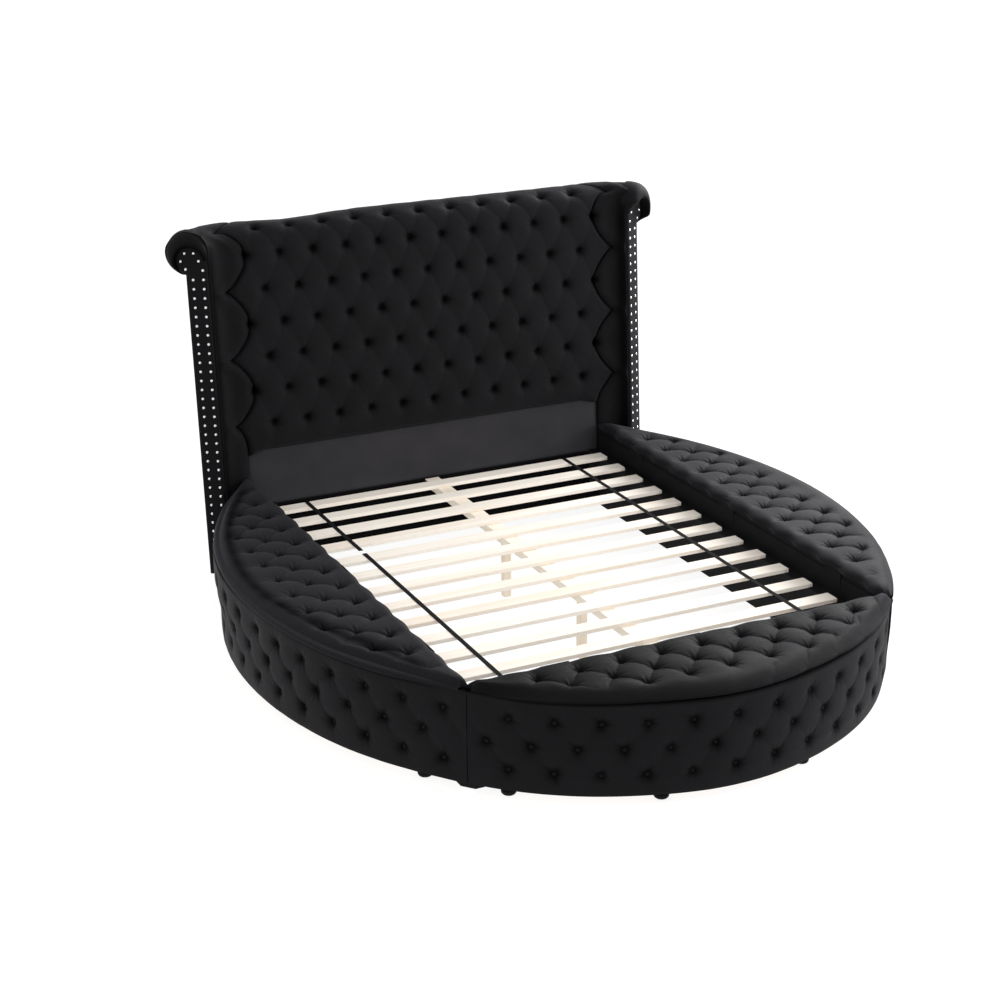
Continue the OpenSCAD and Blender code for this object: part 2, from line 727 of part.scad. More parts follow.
// Barrel pieces along x: the even ones belong to the box leaf, the odd ones to the lid
module knuckles(odd) for (i = [odd:2:hinge_knuckles - 1])
    translate([-hinge_l / 2 + i * knuckle_l + knuckle_fit / 2, hinge_w, hinge_z]) rotate([0, 90, 0])
        cylinder(r = barrel_r, h = knuckle_l - knuckle_fit, $fn = 48);

// Room for the other leaf's knuckles, and the hole for the pin
module knuckle_room(odd) {
    room_z = hinge_z - barrel_r - knuckle_fit;
    for (i = [odd:2:hinge_knuckles - 1])
        translate([-hinge_l / 2 + i * knuckle_l - knuckle_fit / 2, -3 * barrel_r, room_z])
            cube([knuckle_l + knuckle_fit, 6 * barrel_r, 3 * barrel_r]);
    translate([-hinge_l, hinge_w, hinge_z]) rotate([0, 90, 0])
        cylinder(r = pin_r + pin_fit, h = 2 * hinge_l, $fn = 48);
}

module hinge_box_leaves(b) color(black_board) place() at_bench(b) for (x = hinge_places(b)) translate([x, 0, 0])
    difference() {
        union() {
            translate([-hinge_l / 2, -leaf_t, hinge_z - 2 * hinge_rise])
                cube([hinge_l, leaf_t, 2 * hinge_rise]);
            knuckles(0);
        }
        knuckle_room(1);
    }

module hinge_lid_leaves(b) color(black_board) place() at_bench(b) for (x = hinge_places(b)) translate([x, 0, 0])
    difference() {
        union() {
            translate([-hinge_l / 2, board_w - leaf_t, lid_z]) cube([hinge_l, leaf_t, hinge_z - lid_z]);
            knuckles(1);
        }
        knuckle_room(0);
    }

module hinge_pins() color(silver) place() for (b = BENCHES) at_bench(b) for (x = hinge_places(b))
    translate([x - hinge_l / 2, hinge_w, hinge_z]) rotate([0, 90, 0]) {
        cylinder(r = pin_r, h = hinge_l, $fn = 48);
        translate([0, 0, -pin_head_h]) cylinder(r = pin_head_r, h = pin_head_h, $fn = 48);
        translate([0, 0, hinge_l]) cylinder(r = pin_head_r, h = pin_head_h, $fn = 48);
    }

// Slats and what carries them

function slat_y(i) = -first_slat - (i - 1) * slat_pitch;

// A planed bar along x with eased long edges, y from 0 to w and z from 0 to t
module bar(l, w, t, r) rotate([90, 0, 90]) linear_extrude(l) {
    translate([r, 0]) square([w - 2 * r, t]);
    translate([0, r]) square([w, t - 2 * r]);
    for (x = [r, w - r]) for (y = [r, t - r]) translate([x, y]) circle(r = r, $fn = 24);
}

module slat(i) color(pine) place() translate([-slat_l / 2, slat_y(i), slat_z])
    bar(slat_l, slat_w, slat_t, edge_r);

module slat_cleats() color(black_board) place() difference() {
    for (x = [-well_half, well_half - cleat_w]) translate([x, foot_y, slat_z - cleat_h])
        cube([cleat_w, well_l, cleat_h]);
    behind_face(gap);
    for (side = [-1, 1]) wing_room(side);
}

module strap(x, y0, y1) color(webbing) place()
    translate([x - strap_w / 2, y1, slat_top]) cube([strap_w, y0 - y1, strap_t]);

// The left strap is in two pieces that part between the fourth and fifth slats
module strap_left_head() strap(-strap_x, slat_y(1) + slat_w, slat_y(4) - slat_w);
module strap_left_foot() strap(-strap_x, slat_y(5) + slat_w, slat_y(slat_n));
module strap_right() strap(strap_x, slat_y(1) + slat_w, slat_y(slat_n));

beam_z = slat_z - beam_h;
beam_head_y = face_y(beam_z - bracket_t) - gap / 2;
module middle_beam() color(pine) place() translate([beam_w / 2, foot_y + bracket_t, beam_z])
    rotate([0, 0, 90]) bar(beam_head_y - foot_y - 2 * bracket_t, beam_w, beam_h, edge_r);

module beam_legs() color(pine) place() for (y = [beam_leg_y1, beam_leg_y2])
    translate([-beam_leg / 2, -y - beam_leg / 2, beam_z]) rotate([0, 90, 0])
        bar(beam_z, beam_leg, beam_leg, edge_r);

// U brackets that carry the beam's ends on the foot bench and on the headboard
module beam_bracket() translate([-beam_w / 2 - bracket_t, 0, beam_z - bracket_t]) difference() {
    cube([beam_w + 2 * bracket_t, beam_bracket_l, beam_h]);
    translate([bracket_t, bracket_t, bracket_t]) cube([beam_w, beam_bracket_l, beam_h]);
}

module beam_brackets() color(black_board) place() {
    translate([0, foot_y, 0]) beam_bracket();
    translate([0, beam_head_y, 0]) mirror([0, 1, 0]) beam_bracket();
}

// Steel angles in the well's four corners, which join the benches to each other
// and to the headboard
module angle_bracket(x_leg, y_leg) {
    cube([x_leg, bracket_t, bracket_h]);
    cube([bracket_t, y_leg, bracket_h]);
}

bracket_z = slat_z - cleat_h - bracket_h;
module corner_brackets() color(steel) place() for (side = [0, 1]) mirror([side, 0, 0]) {
    translate([-well_half, foot_y, bracket_z]) angle_bracket(bracket_leg, bracket_leg);
    difference() {
        union() {
            translate([-well_half, -2 * bracket_leg, bracket_z])
                cube([bracket_t, 3 * bracket_leg, bracket_h]);
            intersection() {
                translate([-well_half, -bracket_leg, bracket_z])
                    cube([bracket_leg, 3 * bracket_leg, bracket_h]);
                behind_face(bracket_t);
            }
        }
        behind_face(gap / 3);
        wing_room(-1);
    }
}

headboard_board();
crest_roll();
tufted_head_pad();
plain_lower_panel();
wing_pad(-1);  // wing_pad_left
wing_pad(1);  // wing_pad_right
headboard_back();
wing_facing(-1);  // wing_facing_left
wing_facing(1);  // wing_facing_right
facing_nails();
headboard_glides();
for (b = BENCHES) {
    inner_wall(b);
    outer_wall(b);
    box_floor(b);
    tufted_cover(b);
    lid_board(b);
    lid_cushion(b);
    hinge_box_leaves(b);
    hinge_lid_leaves(b);
}
tip_blocks();
bench_feet();
slat_cleats();
corner_brackets();
hinge_pins();
for (i = [1:slat_n]) slat(i);
strap_left_head();
strap_left_foot();
strap_right();
middle_beam();
beam_legs();
beam_brackets();
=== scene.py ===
# %% [markdown]
# A round platform bed in black velvet. Two side benches and a foot bench carry
# deep-buttoned lids and stand round a slatted mattress well. A leaning
# headboard with curved wings and a rolled crest closes the head end.
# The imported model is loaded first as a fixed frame: it says where every board,
# slat, hinge and cushion is. This script gives each of them its finish and
# models the upholstery around them.

# %% Load the frame
import json
import math
from dataclasses import dataclass
import bpy
import numpy as np
from mathutils import Matrix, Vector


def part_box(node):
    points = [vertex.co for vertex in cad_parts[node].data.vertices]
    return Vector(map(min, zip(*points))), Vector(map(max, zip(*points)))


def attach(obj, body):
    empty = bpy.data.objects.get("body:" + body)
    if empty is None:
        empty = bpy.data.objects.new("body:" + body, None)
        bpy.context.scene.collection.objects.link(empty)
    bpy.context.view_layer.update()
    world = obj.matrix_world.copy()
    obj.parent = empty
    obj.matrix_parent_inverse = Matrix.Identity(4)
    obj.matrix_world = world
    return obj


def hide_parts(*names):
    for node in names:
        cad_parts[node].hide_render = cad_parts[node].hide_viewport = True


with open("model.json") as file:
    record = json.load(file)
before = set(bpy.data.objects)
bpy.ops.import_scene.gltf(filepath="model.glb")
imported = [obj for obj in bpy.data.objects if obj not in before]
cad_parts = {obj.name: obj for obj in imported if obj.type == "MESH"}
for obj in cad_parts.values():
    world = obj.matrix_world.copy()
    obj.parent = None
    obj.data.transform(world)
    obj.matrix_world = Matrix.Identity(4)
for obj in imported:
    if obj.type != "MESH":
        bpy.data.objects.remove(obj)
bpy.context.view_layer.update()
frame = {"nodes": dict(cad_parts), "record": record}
MM = 0.001
print("nodes in the frame:", len(frame["nodes"]))

# %% [markdown]
# The camera stands in front of the foot end, to the left, a little above the
# headboard. Its place was fitted to the slats, so it is given from the first
# slat's front edge. A camera looks down its own -Z axis, so it is stood up by a
# quarter turn about X, less the angle that it looks down by.

# %% Camera
cam_x, cam_back, cam_z = -3.05212, -6.86571, 3.02968
cam_turn = math.radians(-25.6728)
cam_drop = math.radians(20.6392)
cam_roll = math.radians(-0.3333)
scene = bpy.context.scene
cam_data = bpy.data.cameras.new("camera")
cam_data.sensor_width = 36
cam_data.lens = 71.007
cam_data.clip_end = 60
camera = bpy.data.objects.new("camera", cam_data)
scene.collection.objects.link(camera)
scene.camera = camera
camera.matrix_world = (
    Matrix.Translation((cam_x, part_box("slat_1")[0].y + cam_back, cam_z))
    @ Matrix.Rotation(cam_turn, 4, "Z")
    @ Matrix.Rotation(math.pi / 2 - cam_drop, 4, "X")
    @ Matrix.Rotation(cam_roll, 4, "Z")
)
print("camera at", tuple(round(v, 3) for v in camera.matrix_world.translation))

# %% [markdown]
# The surround is white and lights the bed evenly. It is a little under full
# strength, which keeps the black velvet black. The camera itself should see
# pure white behind the bed, so a Light Path node tells its rays from the rest
# and a Mix Shader gives them a brighter background.

# %% Surround
white = (1, 1, 1, 1)
scene.view_settings.view_transform = "Standard"
world = bpy.data.worlds.new("studio")
scene.world = world
world.use_nodes = True
around = world.node_tree
lit = around.nodes["Background"]
lit.inputs["Color"].default_value = white
lit.inputs["Strength"].default_value = 0.92
seen = around.nodes.new("ShaderNodeBackground")
seen.inputs["Color"].default_value = white
ray = around.nodes.new("ShaderNodeLightPath")
either = around.nodes.new("ShaderNodeMixShader")
around.links.new(ray.outputs["Is Camera Ray"], either.inputs[0])
around.links.new(lit.outputs[0], either.inputs[1])
around.links.new(seen.outputs[0], either.inputs[2])
around.links.new(either.outputs[0], around.nodes["World Output"].inputs["Surface"])
print("surround at strength", lit.inputs["Strength"].default_value)

# %% [markdown]
# Two broad soft lights stand at the right. The stronger one is behind the bed
# and above it, and brushes the tops of the cushions. The other stands further
# forward and reaches the headboard and the covers. Their size in metres makes
# the shadows soft.


# %% Lights
def area_light(name, place, aim, size, power):
    """A square light of that size at place, turned so that its -Z axis runs to aim."""
    data = bpy.data.lights.new(name, "AREA")
    data.size = size
    data.energy = power
    lamp = bpy.data.objects.new(name, data)
    scene.collection.objects.link(lamp)
    to_aim = np.subtract(aim, place)
    z = -to_aim / np.linalg.norm(to_aim)
    x = np.cross((0, 1, 0.01), z)
    x /= np.linalg.norm(x)
    y = np.cross(z, x)
    turned = Matrix([list(row) + [0] for row in np.array([x, y, z]).T] + [[0, 0, 0, 1]])
    lamp.matrix_world = Matrix.Translation(place) @ turned


area_light("right_back", (3.6, 2.0, 2.6), (0.9, -0.2, 0.35), 2.2, 160)
area_light("right_front", (4.4, -1.8, 2.2), (0, 1.0, 0.8), 1.8, 98)

floor_half = 30
floor_drop = 0.5 * MM
bpy.ops.mesh.primitive_plane_add(size=2 * floor_half, location=(0, 0, -floor_drop))
floor = bpy.context.object
floor.name = "studio_floor"
print("lights and floor made")

# %% [markdown]
# Shader maths reads better as expressions. `Value` wraps a socket, so that
# `0.5 + 2 * a` adds the Math nodes for it, and `Finish` makes any other node
# from its type, its settings and what goes into its sockets.


# %% Shader helpers
class Value:
    """A socket that carries one number, with the operators that the finishes use."""

    def __init__(self, finish, socket):
        self.finish = finish
        self.socket = socket

    def maths(self, operation, *others):
        """The result of a Math node on this value and the others."""
        node = self.finish.node("ShaderNodeMath", {"operation": operation}, (self, *others))
        return Value(self.finish, node.outputs[0])

    def __add__(self, other):
        return self.maths("ADD", other)

    def __mul__(self, other):
        return self.maths("MULTIPLY", other)

    __radd__ = __add__
    __rmul__ = __mul__


class Finish:
    """A material with its Principled shader, and a method that adds nodes to it."""

    def __init__(self, name, roughness, **fixed):
        self.material = bpy.data.materials.new(name)
        self.material.use_nodes = True
        self.tree = self.material.node_tree
        self.shader = self.tree.nodes["Principled BSDF"]
        self.set("Roughness", roughness)
        for socket, value in fixed.items():
            self.set(socket.replace("_", " "), value)

    def node(self, kind, settings=None, inputs=()):
        """A node of that kind, its settings first, then its inputs by place or by name."""
        made = self.tree.nodes.new(kind)
        for key, value in (settings or {}).items():
            setattr(made, key, value)
        pairs = inputs.items() if isinstance(inputs, dict) else enumerate(inputs)
        for key, value in pairs:
            self.join(made.inputs[key], value)
        return made

    def join(self, socket, value):
        """Links a socket or a Value to this socket, or sets it to a number or colour."""
        if isinstance(value, Value):
            value = value.socket
        if isinstance(value, bpy.types.NodeSocket):
            self.tree.links.new(value, socket)
        else:
            socket.default_value = value

    def set(self, name, value):
        """Joins a value to the Principled shader's socket of that name."""
        self.join(self.shader.inputs[name], value)

    def spot(self):
        """Object coordinates, in metres."""
        return self.node("ShaderNodeTexCoord").outputs["Object"]

    def place(self, scale=(1, 1, 1)):
        """Object coordinates, stretched by scale."""
        return self.node("ShaderNodeMapping", {}, {"Vector": self.spot(), "Scale": scale}).outputs[0]

    def axes(self):
        """The three object coordinates as values."""
        split = self.node("ShaderNodeSeparateXYZ", {}, (self.spot(),))
        return [Value(self, socket) for socket in split.outputs]

    def noise(self, where, scale, detail=2.0, rough=0.5):
        """Noise from 0 to 1 at that many cells a metre."""
        made = self.node("ShaderNodeTexNoise", {}, {
            "Vector": where, "Scale": scale, "Detail": detail, "Roughness": rough})
        return Value(self, made.outputs["Fac"])

    def ramp(self, value, stops):
        """A colour from stops of (position, colour)."""
        made = self.node("ShaderNodeValToRGB", {}, (value,))
        bar = made.color_ramp.elements
        while len(bar) < len(stops):
            bar.new(0.5)
        for mark, (position, colour) in zip(bar, stops):
            mark.position = position
            mark.color = (*colour, 1)
        return made.outputs["Color"]

    def cover_with(self, other, factor):
        """Shows another shader instead of the Principled one where factor is 1."""
        mix = self.node("ShaderNodeMixShader", {}, {
            0: factor, 1: self.shader.outputs[0], 2: other.outputs[0]})
        self.join(self.tree.nodes["Material Output"].inputs["Surface"], mix.outputs[0])

    def bump(self, height, depth):
        """Tilts the surface by a height of 0 to 1 over that many metres."""
        made = self.node("ShaderNodeBump", {}, {"Height": height, "Distance": depth, "Strength": 1.0})
        self.set("Normal", made.outputs[0])


print("shader helpers ready")

# %% [markdown]
# Velvet is a dense cut pile. Seen square on it swallows light, and seen along
# the pile it shines, which a Sheen lobe gives. The pile also leans this way and
# that where hands have brushed it, so the colour drifts in soft patches, and a
# very fine grain breaks up the highlights.
# Down in a button's pit and in a seam the shade is painted. A darker colour alone would not do it, because
# the sheen ignores the colour. So the mesh carries an attribute, "pit", for how much painted shade each
# point has, and a Mix Shader uses it to fade to a flat dark shader.

# %% Velvet
# The colour of the painted shade in pits and seams.
pit_shade_colour = (0.0004, 0.0004, 0.0005)
# How much lighter the ramp's last stop is. It is painted light, reached only where the colour is painted
# lighter to the right.
lit_pile = 4.5
patches = 7
pile = 2600


def velvet(name, dark, light, sheen, right_light=0.0):
    """A velvet between two colours, painted lighter to the right by its last argument a metre, as if lit
    from the lamps at the right.

    Its colour is read from a ramp at 0.8 brushed + 0.2 grain + that argument times x. Past the light stop
    the ramp goes on to a painted lit colour, 4.5 times lighter.
    """
    made = Finish(name, 0.62, Sheen_Weight=sheen, Sheen_Roughness=0.6,
                  Sheen_Tint=(0.88, 0.88, 1.0, 1), Specular_IOR_Level=0.08)
    where = made.place()
    brushed = made.noise(where, patches, 3, 0.55)
    grain = made.noise(where, pile, 2, 0.6)
    lit_colour = tuple(lit_pile * c for c in light)
    lie_and_light = 0.8 * brushed + 0.2 * grain + right_light * made.axes()[0]
    made.set("Base Color", made.ramp(lie_and_light, [(0.3, dark), (0.75, light), (1.0, lit_colour)]))
    # Painted shade: where the pit attribute is 1, the velvet fades to this flat dark shader, which has no
    # sheen.
    pit = made.node("ShaderNodeAttribute", {"attribute_name": "pit"}).outputs["Fac"]
    flat = made.node("ShaderNodeBsdfPrincipled", {}, {
        "Base Color": (*pit_shade_colour, 1), "Roughness": 0.9, "Specular IOR Level": 0.02})
    made.cover_with(flat, pit)
    made.set("Roughness", 0.25 * brushed + 0.5)
    made.bump(grain, 0.35 * MM)
    return made.material


# All but the panel's velvet are one black cloth, in lit and shaded copies tuned to how the light falls on
# each place: painted light and shade. The foot lid's and the covers' copies are also painted lighter to the
# right, towards the lamps.
black_velvet = velvet("black_velvet", (0.0026, 0.0025, 0.0031), (0.0060, 0.0058, 0.0070), 0.037)
wing_velvet = velvet("wing_velvet", (0.0021, 0.0020, 0.0025), (0.0052, 0.0050, 0.0061), 0.032)
lid_velvet = velvet("lid_velvet", (0.0024, 0.0023, 0.0029), (0.0054, 0.0052, 0.0066), 0.054)
foot_velvet = velvet("foot_velvet", (0.0012, 0.0011, 0.0015), (0.0030, 0.0028, 0.0037), 0.021, 0.6)
cover_velvet = velvet("cover_velvet", (0.0023, 0.0022, 0.0028), (0.0052, 0.0050, 0.0060), 0.033, 0.22)
shaded_button_velvet = velvet("shaded_button_velvet", (0.0006, 0.0006, 0.0008), (0.0018, 0.0017, 0.0021), 0.02)
panel_velvet = velvet("panel_velvet", (0.023, 0.022, 0.024), (0.034, 0.032, 0.035), 0.07)
print("velvets made")

# %% [markdown]
# The slats and the beam are planed pine, and the boards under the upholstery
# are plywood. Noise stretched along a board gives long grain, with no image
# and no UV map. Each direction that a board can run in has its own stretch.


# %% Wood
def pine_wood(name, light, dark, stretch):
    """Long grain: 0.7 of a broad noise pulled out along the board and 0.3 of fine streaks."""
    made = Finish(name, 0.55, Specular_IOR_Level=0.35)
    where = made.place(stretch)
    broad = made.noise(where, 9, 4, 0.6)
    streak = made.noise(where, 60, 3, 0.6)
    grain = 0.7 * broad + 0.3 * streak
    made.set("Base Color", made.ramp(grain, [(0.32, dark), (0.52, light), (0.8, light)]))
    made.set("Roughness", 0.2 * streak + 0.45)
    made.bump(streak, 0.4 * MM)
    return made.material


pine_across = pine_wood("pine_across", (0.95, 0.88, 0.79), (0.86, 0.73, 0.60), (0.06, 1, 1))
pine_along = pine_wood("pine_along", (0.95, 0.88, 0.77), (0.86, 0.72, 0.56), (1, 0.06, 1))
pine_up = pine_wood("pine_up", (0.90, 0.80, 0.66), (0.74, 0.58, 0.40), (1, 1, 0.06))
plywood = pine_wood("plywood", (0.50, 0.34, 0.19), (0.34, 0.21, 0.11), (0.4, 0.4, 1))
print("wood made")

# %% [markdown]
# The other hard finishes show only a fine grain: black lining cloth on the inner walls, black plastic feet,
# powder-coated hinges, zinc angles and polished nails. One function makes them all. Polished metal is a
# metallic shader with a low roughness, and the rest are nearly black. The zinc angles stand in the well's
# dark corners, and their near-black colour is painted shade.


# %% Plain finishes
def grained(name, dark, light, roughness, cells_a_metre, depth, **fixed):
    """A finish whose only detail is a fine grain in its colour, gloss and surface."""
    made = Finish(name, roughness, **fixed)
    grain = made.noise(made.place(), cells_a_metre, 3, 0.6)
    made.set("Base Color", made.ramp(grain, [(0.3, dark), (0.7, light)]))
    made.set("Roughness", 0.15 * grain + (roughness - 0.07))
    made.bump(grain, depth)
    return made.material


lining = grained("black_lining", (0.0035, 0.0035, 0.004), (0.009, 0.009, 0.010),
                 0.8, 1400, 0.4 * MM, Specular_IOR_Level=0.12)
plastic = grained("black_plastic", (0.002, 0.002, 0.002), (0.004, 0.004, 0.004),
                  0.6, 900, 0.1 * MM, Specular_IOR_Level=0.12)
powder = grained("black_powder_coat", (0.004, 0.004, 0.0045), (0.010, 0.010, 0.011),
                 0.8, 1500, 0.15 * MM, Specular_IOR_Level=0.1)
# Painted shade: the zinc is given a near-black colour for angles in the well's dark corners.
zinc = grained("shaded_zinc", (0.025, 0.025, 0.028), (0.045, 0.045, 0.050),
               0.5, 260, 0.1 * MM, Metallic=1.0)
nickel = grained("polished_nickel", (0.72, 0.73, 0.75), (0.84, 0.85, 0.87),
                 0.14, 500, 0.05 * MM, Metallic=1.0)
print("plain finishes made")

# %% [markdown]
# The webbing over the slats is a plain weave. Two sine waves at right angles,
# multiplied together, rise and fall like threads that pass over and under each
# other. The floor is painted here too: it gives off light of its own, so that
# it stays white under the bed.

# %% Webbing and floor paint
thread_waves = 3600


def webbing_cloth():
    """Plain-woven webbing: 0.5 + 0.5 sin(x waves) sin(y waves)."""
    made = Finish("black_webbing", 0.75, Specular_IOR_Level=0.1)
    x, y, _ = made.axes()
    weave = (thread_waves * x).maths("SINE") * (thread_waves * y).maths("SINE") * 0.5 + 0.5
    made.set("Base Color", made.ramp(weave, [(0.2, (0.004, 0.004, 0.005)), (0.9, (0.012, 0.012, 0.013))]))
    made.bump(weave, 0.3 * MM)
    return made.material


webbing = webbing_cloth()
floor_paint = Finish("studio_white", 0.9)
floor_paint.set("Base Color", (0.2, 0.2, 0.2, 1))
floor_paint.set("Emission Color", white)
floor_paint.set("Emission Strength", 0.88)
floor.data.materials.append(floor_paint.material)
print("finishes made:", len(bpy.data.materials))

# %% [markdown]
# Everything padded is worked out as a surface first: a function of two numbers
# on a grid, with the padding's height added along the surface's outward
# direction. These helpers turn such grids into closed meshes. The quads' corner
# numbers come from whole arrays, and the sign of the closed volume tells
# whether the faces point outwards.


# %% Mesh helpers
def cells(rows, cols, around=False):
    """Corner numbers of a grid's quads. With around, the last column joins the first."""
    i = np.arange(rows - 1)[:, None] * cols
    j = np.arange(cols if around else cols - 1)[None, :]
    k = (j + 1) % cols
    return np.stack([i + j, i + k, i + cols + k, i + cols + j], -1).reshape(-1, 4)


def volume(points, quads):
    """Signed volume of a closed quad mesh: the sum of its triangles' wedges to the origin."""
    a, b, c, d = (points[quads[:, k]] for k in range(4))
    wedges = np.einsum("ij,ij->i", a, np.cross(b, c)) + np.einsum("ij,ij->i", a, np.cross(c, d))
    return wedges.sum() / 6


def piece(name, points, quads, finish, body, slot, ends=(), crease=40, pit=None):
    """A new mesh object on its body, with outward faces and sharp edges past the crease angle.

    pit gives each point how crushed its pile is, for the velvets.
    """
    turned = volume(points, quads) < 0
    faces = (quads[:, ::-1] if turned else quads).tolist()
    faces += [[int(n) for n in (end[::-1] if turned else end)] for end in ends]
    mesh = bpy.data.meshes.new(name)
    mesh.from_pydata(points.tolist(), [], faces)
    mesh.materials.append(finish)
    mesh.shade_smooth()
    mesh.set_sharp_from_angle(angle=math.radians(crease))
    if pit is not None:
        mark = mesh.attributes.new("pit", "FLOAT", "POINT")
        mark.data.foreach_set("value", np.clip(pit, 0, 1).astype(np.float32).ravel())
    made = bpy.data.objects.new(name, mesh)
    scene.collection.objects.link(made)
    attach(made, body)
    return made


print("mesh helpers ready")

# %% [markdown]
# A pad on a board is a slab between an outer skin, which shows, and an inner
# one, which lies on the board. The inner skin is hidden, so it needs far fewer
# points. A pad that is padded all round is a tube of closed rings instead.

# %% Slabs and tubes
skin_stride = 6


def thinned(count):
    """Every sixth number up to count, with the last kept."""
    return np.unique(np.append(np.arange(0, count, skin_stride), count - 1))


def slab(name, outer, inner, finish, body, slot, pit=None):
    """A closed slab between two skins on one grid. The hidden inner skin is thinned.

    Round the rim, one narrow face joins each stretch of outer points to two inner ones.
    """
    rows, cols = outer.shape[:2]
    some_rows, some_cols = thinned(rows), thinned(cols)
    inner = inner[some_rows][:, some_cols]
    number = np.arange(rows * cols).reshape(rows, cols)
    back = np.arange(inner.shape[0] * inner.shape[1]).reshape(inner.shape[:2]) + rows * cols
    sides = [
        (number[0], back[0], some_cols),
        (number[:, -1], back[:, -1], some_rows),
        (number[-1, ::-1], back[-1, ::-1], cols - 1 - some_cols[::-1]),
        (number[::-1, 0], back[::-1, 0], rows - 1 - some_rows[::-1]),
    ]
    rim = []
    for outer_side, inner_side, kept in sides:
        for k in range(len(kept) - 1):
            run = outer_side[kept[k]:kept[k + 1] + 1]
            rim.append([run[0], inner_side[k], inner_side[k + 1], *run[:0:-1]])
    quads = np.concatenate([cells(rows, cols), cells(*back.shape)[:, ::-1] + rows * cols])
    points = np.concatenate([outer.reshape(-1, 3), inner.reshape(-1, 3)])
    if pit is not None:
        pit = np.append(pit, np.zeros(back.size))
    return piece(name, points, quads, finish, body, slot, ends=rim, pit=pit)


def tube(name, rings, finish, body, slot, **more):
    """A closed tube: rows of closed rings, with a face across each end."""
    rows, cols = rings.shape[:2]
    first = np.arange(cols)
    last = first[::-1] + (rows - 1) * cols
    return piece(name, rings.reshape(-1, 3), cells(rows, cols, True), finish, body, slot,
                 ends=(first, last), **more)


grid_step = 4.5 * MM


def steps(length):
    """How many grid points a length takes."""
    return max(2, round(length / grid_step)) + 1


print("slabs and tubes ready, grid step", grid_step)

# %% [markdown]
# Three curves do most of the shaping. A smooth step blends one shape into the
# next. A quarter round is the edge of a stuffed pad. And nothing soft is quite
# even, so slow random hills of a millimetre or less go over every pad. They
# come from a seeded generator, so each run gives the same bed.


# %% Soft curves
def ease(value):
    """Smooth step from 0 to 1: 3 v squared less 2 v cubed."""
    v = np.clip(value, 0, 1)
    return v * v * (3 - 2 * v)


def drawn_in(*distances, radius):
    """Quarter-round rise from 0 at an edge to 1 at radius inside it, for several edges together.

    Each edge gives the square root of 1 - (1 - d / radius) squared, and they are multiplied.
    """
    rise = 1
    for d in distances:
        rise = rise * np.sqrt(1 - (1 - np.clip(d / radius, 0, 1)) ** 2)
    return rise


def bell(distance, width):
    """1 at no distance and gone past about two widths: e to the minus (distance / width) squared."""
    return np.exp(-(distance / width) ** 2)


def drift(x, y, size, seed):
    """Smooth random hills about `size` across, from -1 to 1: the mean of six plane waves."""
    pick = np.random.default_rng(seed)
    total = np.zeros(np.broadcast(x, y).shape)
    for turn, spread, start in pick.uniform(0, 1, (6, 3)):
        wave = 2 * math.pi / (size * (0.8 + 1.2 * spread))
        total += np.sin((x * math.cos(turn * math.pi) + y * math.sin(turn * math.pi)) * wave
                        + start * 2 * math.pi)
    return total / 6


print("soft curves ready")

# %% [markdown]
# Deep buttoning pulls the cover down to the board at each button of a
# staggered lattice. The slack between four buttons swells into a diamond, and
# the surplus folds away along the straight lines between neighbours. Past the
# outer rows the diamonds are open: each button throws one pleat straight out.
# On skewed coordinates the folds are the whole numbers, so one product of two
# sines gives every diamond at once.

# %% Tufting
fold_reach = 50 * MM


class Tufting:
    """A staggered lattice of buttons, pitch apart along x, in rows that stand `row` apart up y."""

    def __init__(self, pitch, row, rows, phase=0.0, fade_low=0.03, fade_high=0.03):
        self.pitch, self.row, self.rows, self.phase = pitch, row, rows, phase
        self.fade_low, self.fade_high = fade_low, fade_high

    def measure(self, x, y):
        """Puff from 0 on a fold to 1 in a diamond's middle, and the offset from the nearest button.

        On the skewed coordinates a = x / pitch + y / (2 row) and b = x / pitch - y / (2 row) the
        folds are whole numbers and the buttons are where both are whole.
        """
        top = (self.rows - 1) * self.row
        inside = np.clip(y, 0, top)
        beyond = np.maximum(-y, 0) / self.fade_low + np.maximum(y - top, 0) / self.fade_high
        a = (x - self.phase) / self.pitch + inside / (2 * self.row)
        b = (x - self.phase) / self.pitch - inside / (2 * self.row)
        puff = np.abs(np.sin(math.pi * a) * np.sin(math.pi * b)) ** 0.5
        near_a, near_b = a - np.round(a), b - np.round(b)
        along = (near_a + near_b) * self.pitch / 2
        across = (near_a - near_b) * self.row + y - inside
        return 1 - (1 - puff) * np.exp(-beyond), along, across

    def places(self, low, high):
        """The buttons' places with x from low to high."""
        spots = []
        for k in range(self.rows):
            start = self.phase + self.pitch * (k % 2) / 2
            first = math.ceil((low - start) / self.pitch)
            last = math.floor((high - start) / self.pitch)
            spots += [(start + i * self.pitch, k * self.row) for i in range(first, last + 1)]
        return spots


def gathered(along, across, least):
    """How strongly the folds show: 1 at a button, and least far from any."""
    return least + (1 - least) * bell(np.hypot(along, across), fold_reach)


def dip(along, across, radius):
    """Share of a button's pull at an offset from it: a deep narrow pit in a wide shallow one."""
    away = np.hypot(along, across) / radius
    return 0.55 * np.exp(-(away * 1.9) ** 2) + 0.45 * np.exp(-away ** 2)


print("tufting ready")

# %% [markdown]
# No two buttons of a real bed look the same. Short creases fan out from each one at a turn of its own, and
# the painted shade round it has a ragged rim. Both take a whole number from the button's place, in the way
# of a hash, so that every point round a button agrees on it.

# %% Creases and painted pit shade
fan_creases = 9
fan_near = 9 * MM
fan_far = 30 * MM


def own_number(x, y, along, across):
    """A whole number for the button that lies at that offset from x and y."""
    return np.round((x - along) * 37 + (y - across) * 91)


def fan(x, y, along, across, height):
    """Short creases that radiate from each button: a sine of the turn about it, between two radii."""
    away = np.hypot(along, across)
    reach = bell(away, fan_far) * (1 - bell(away, fan_near))
    turn = fan_creases * np.arctan2(across, along)
    return height * reach * np.sin(turn + own_number(x, y, along, across))


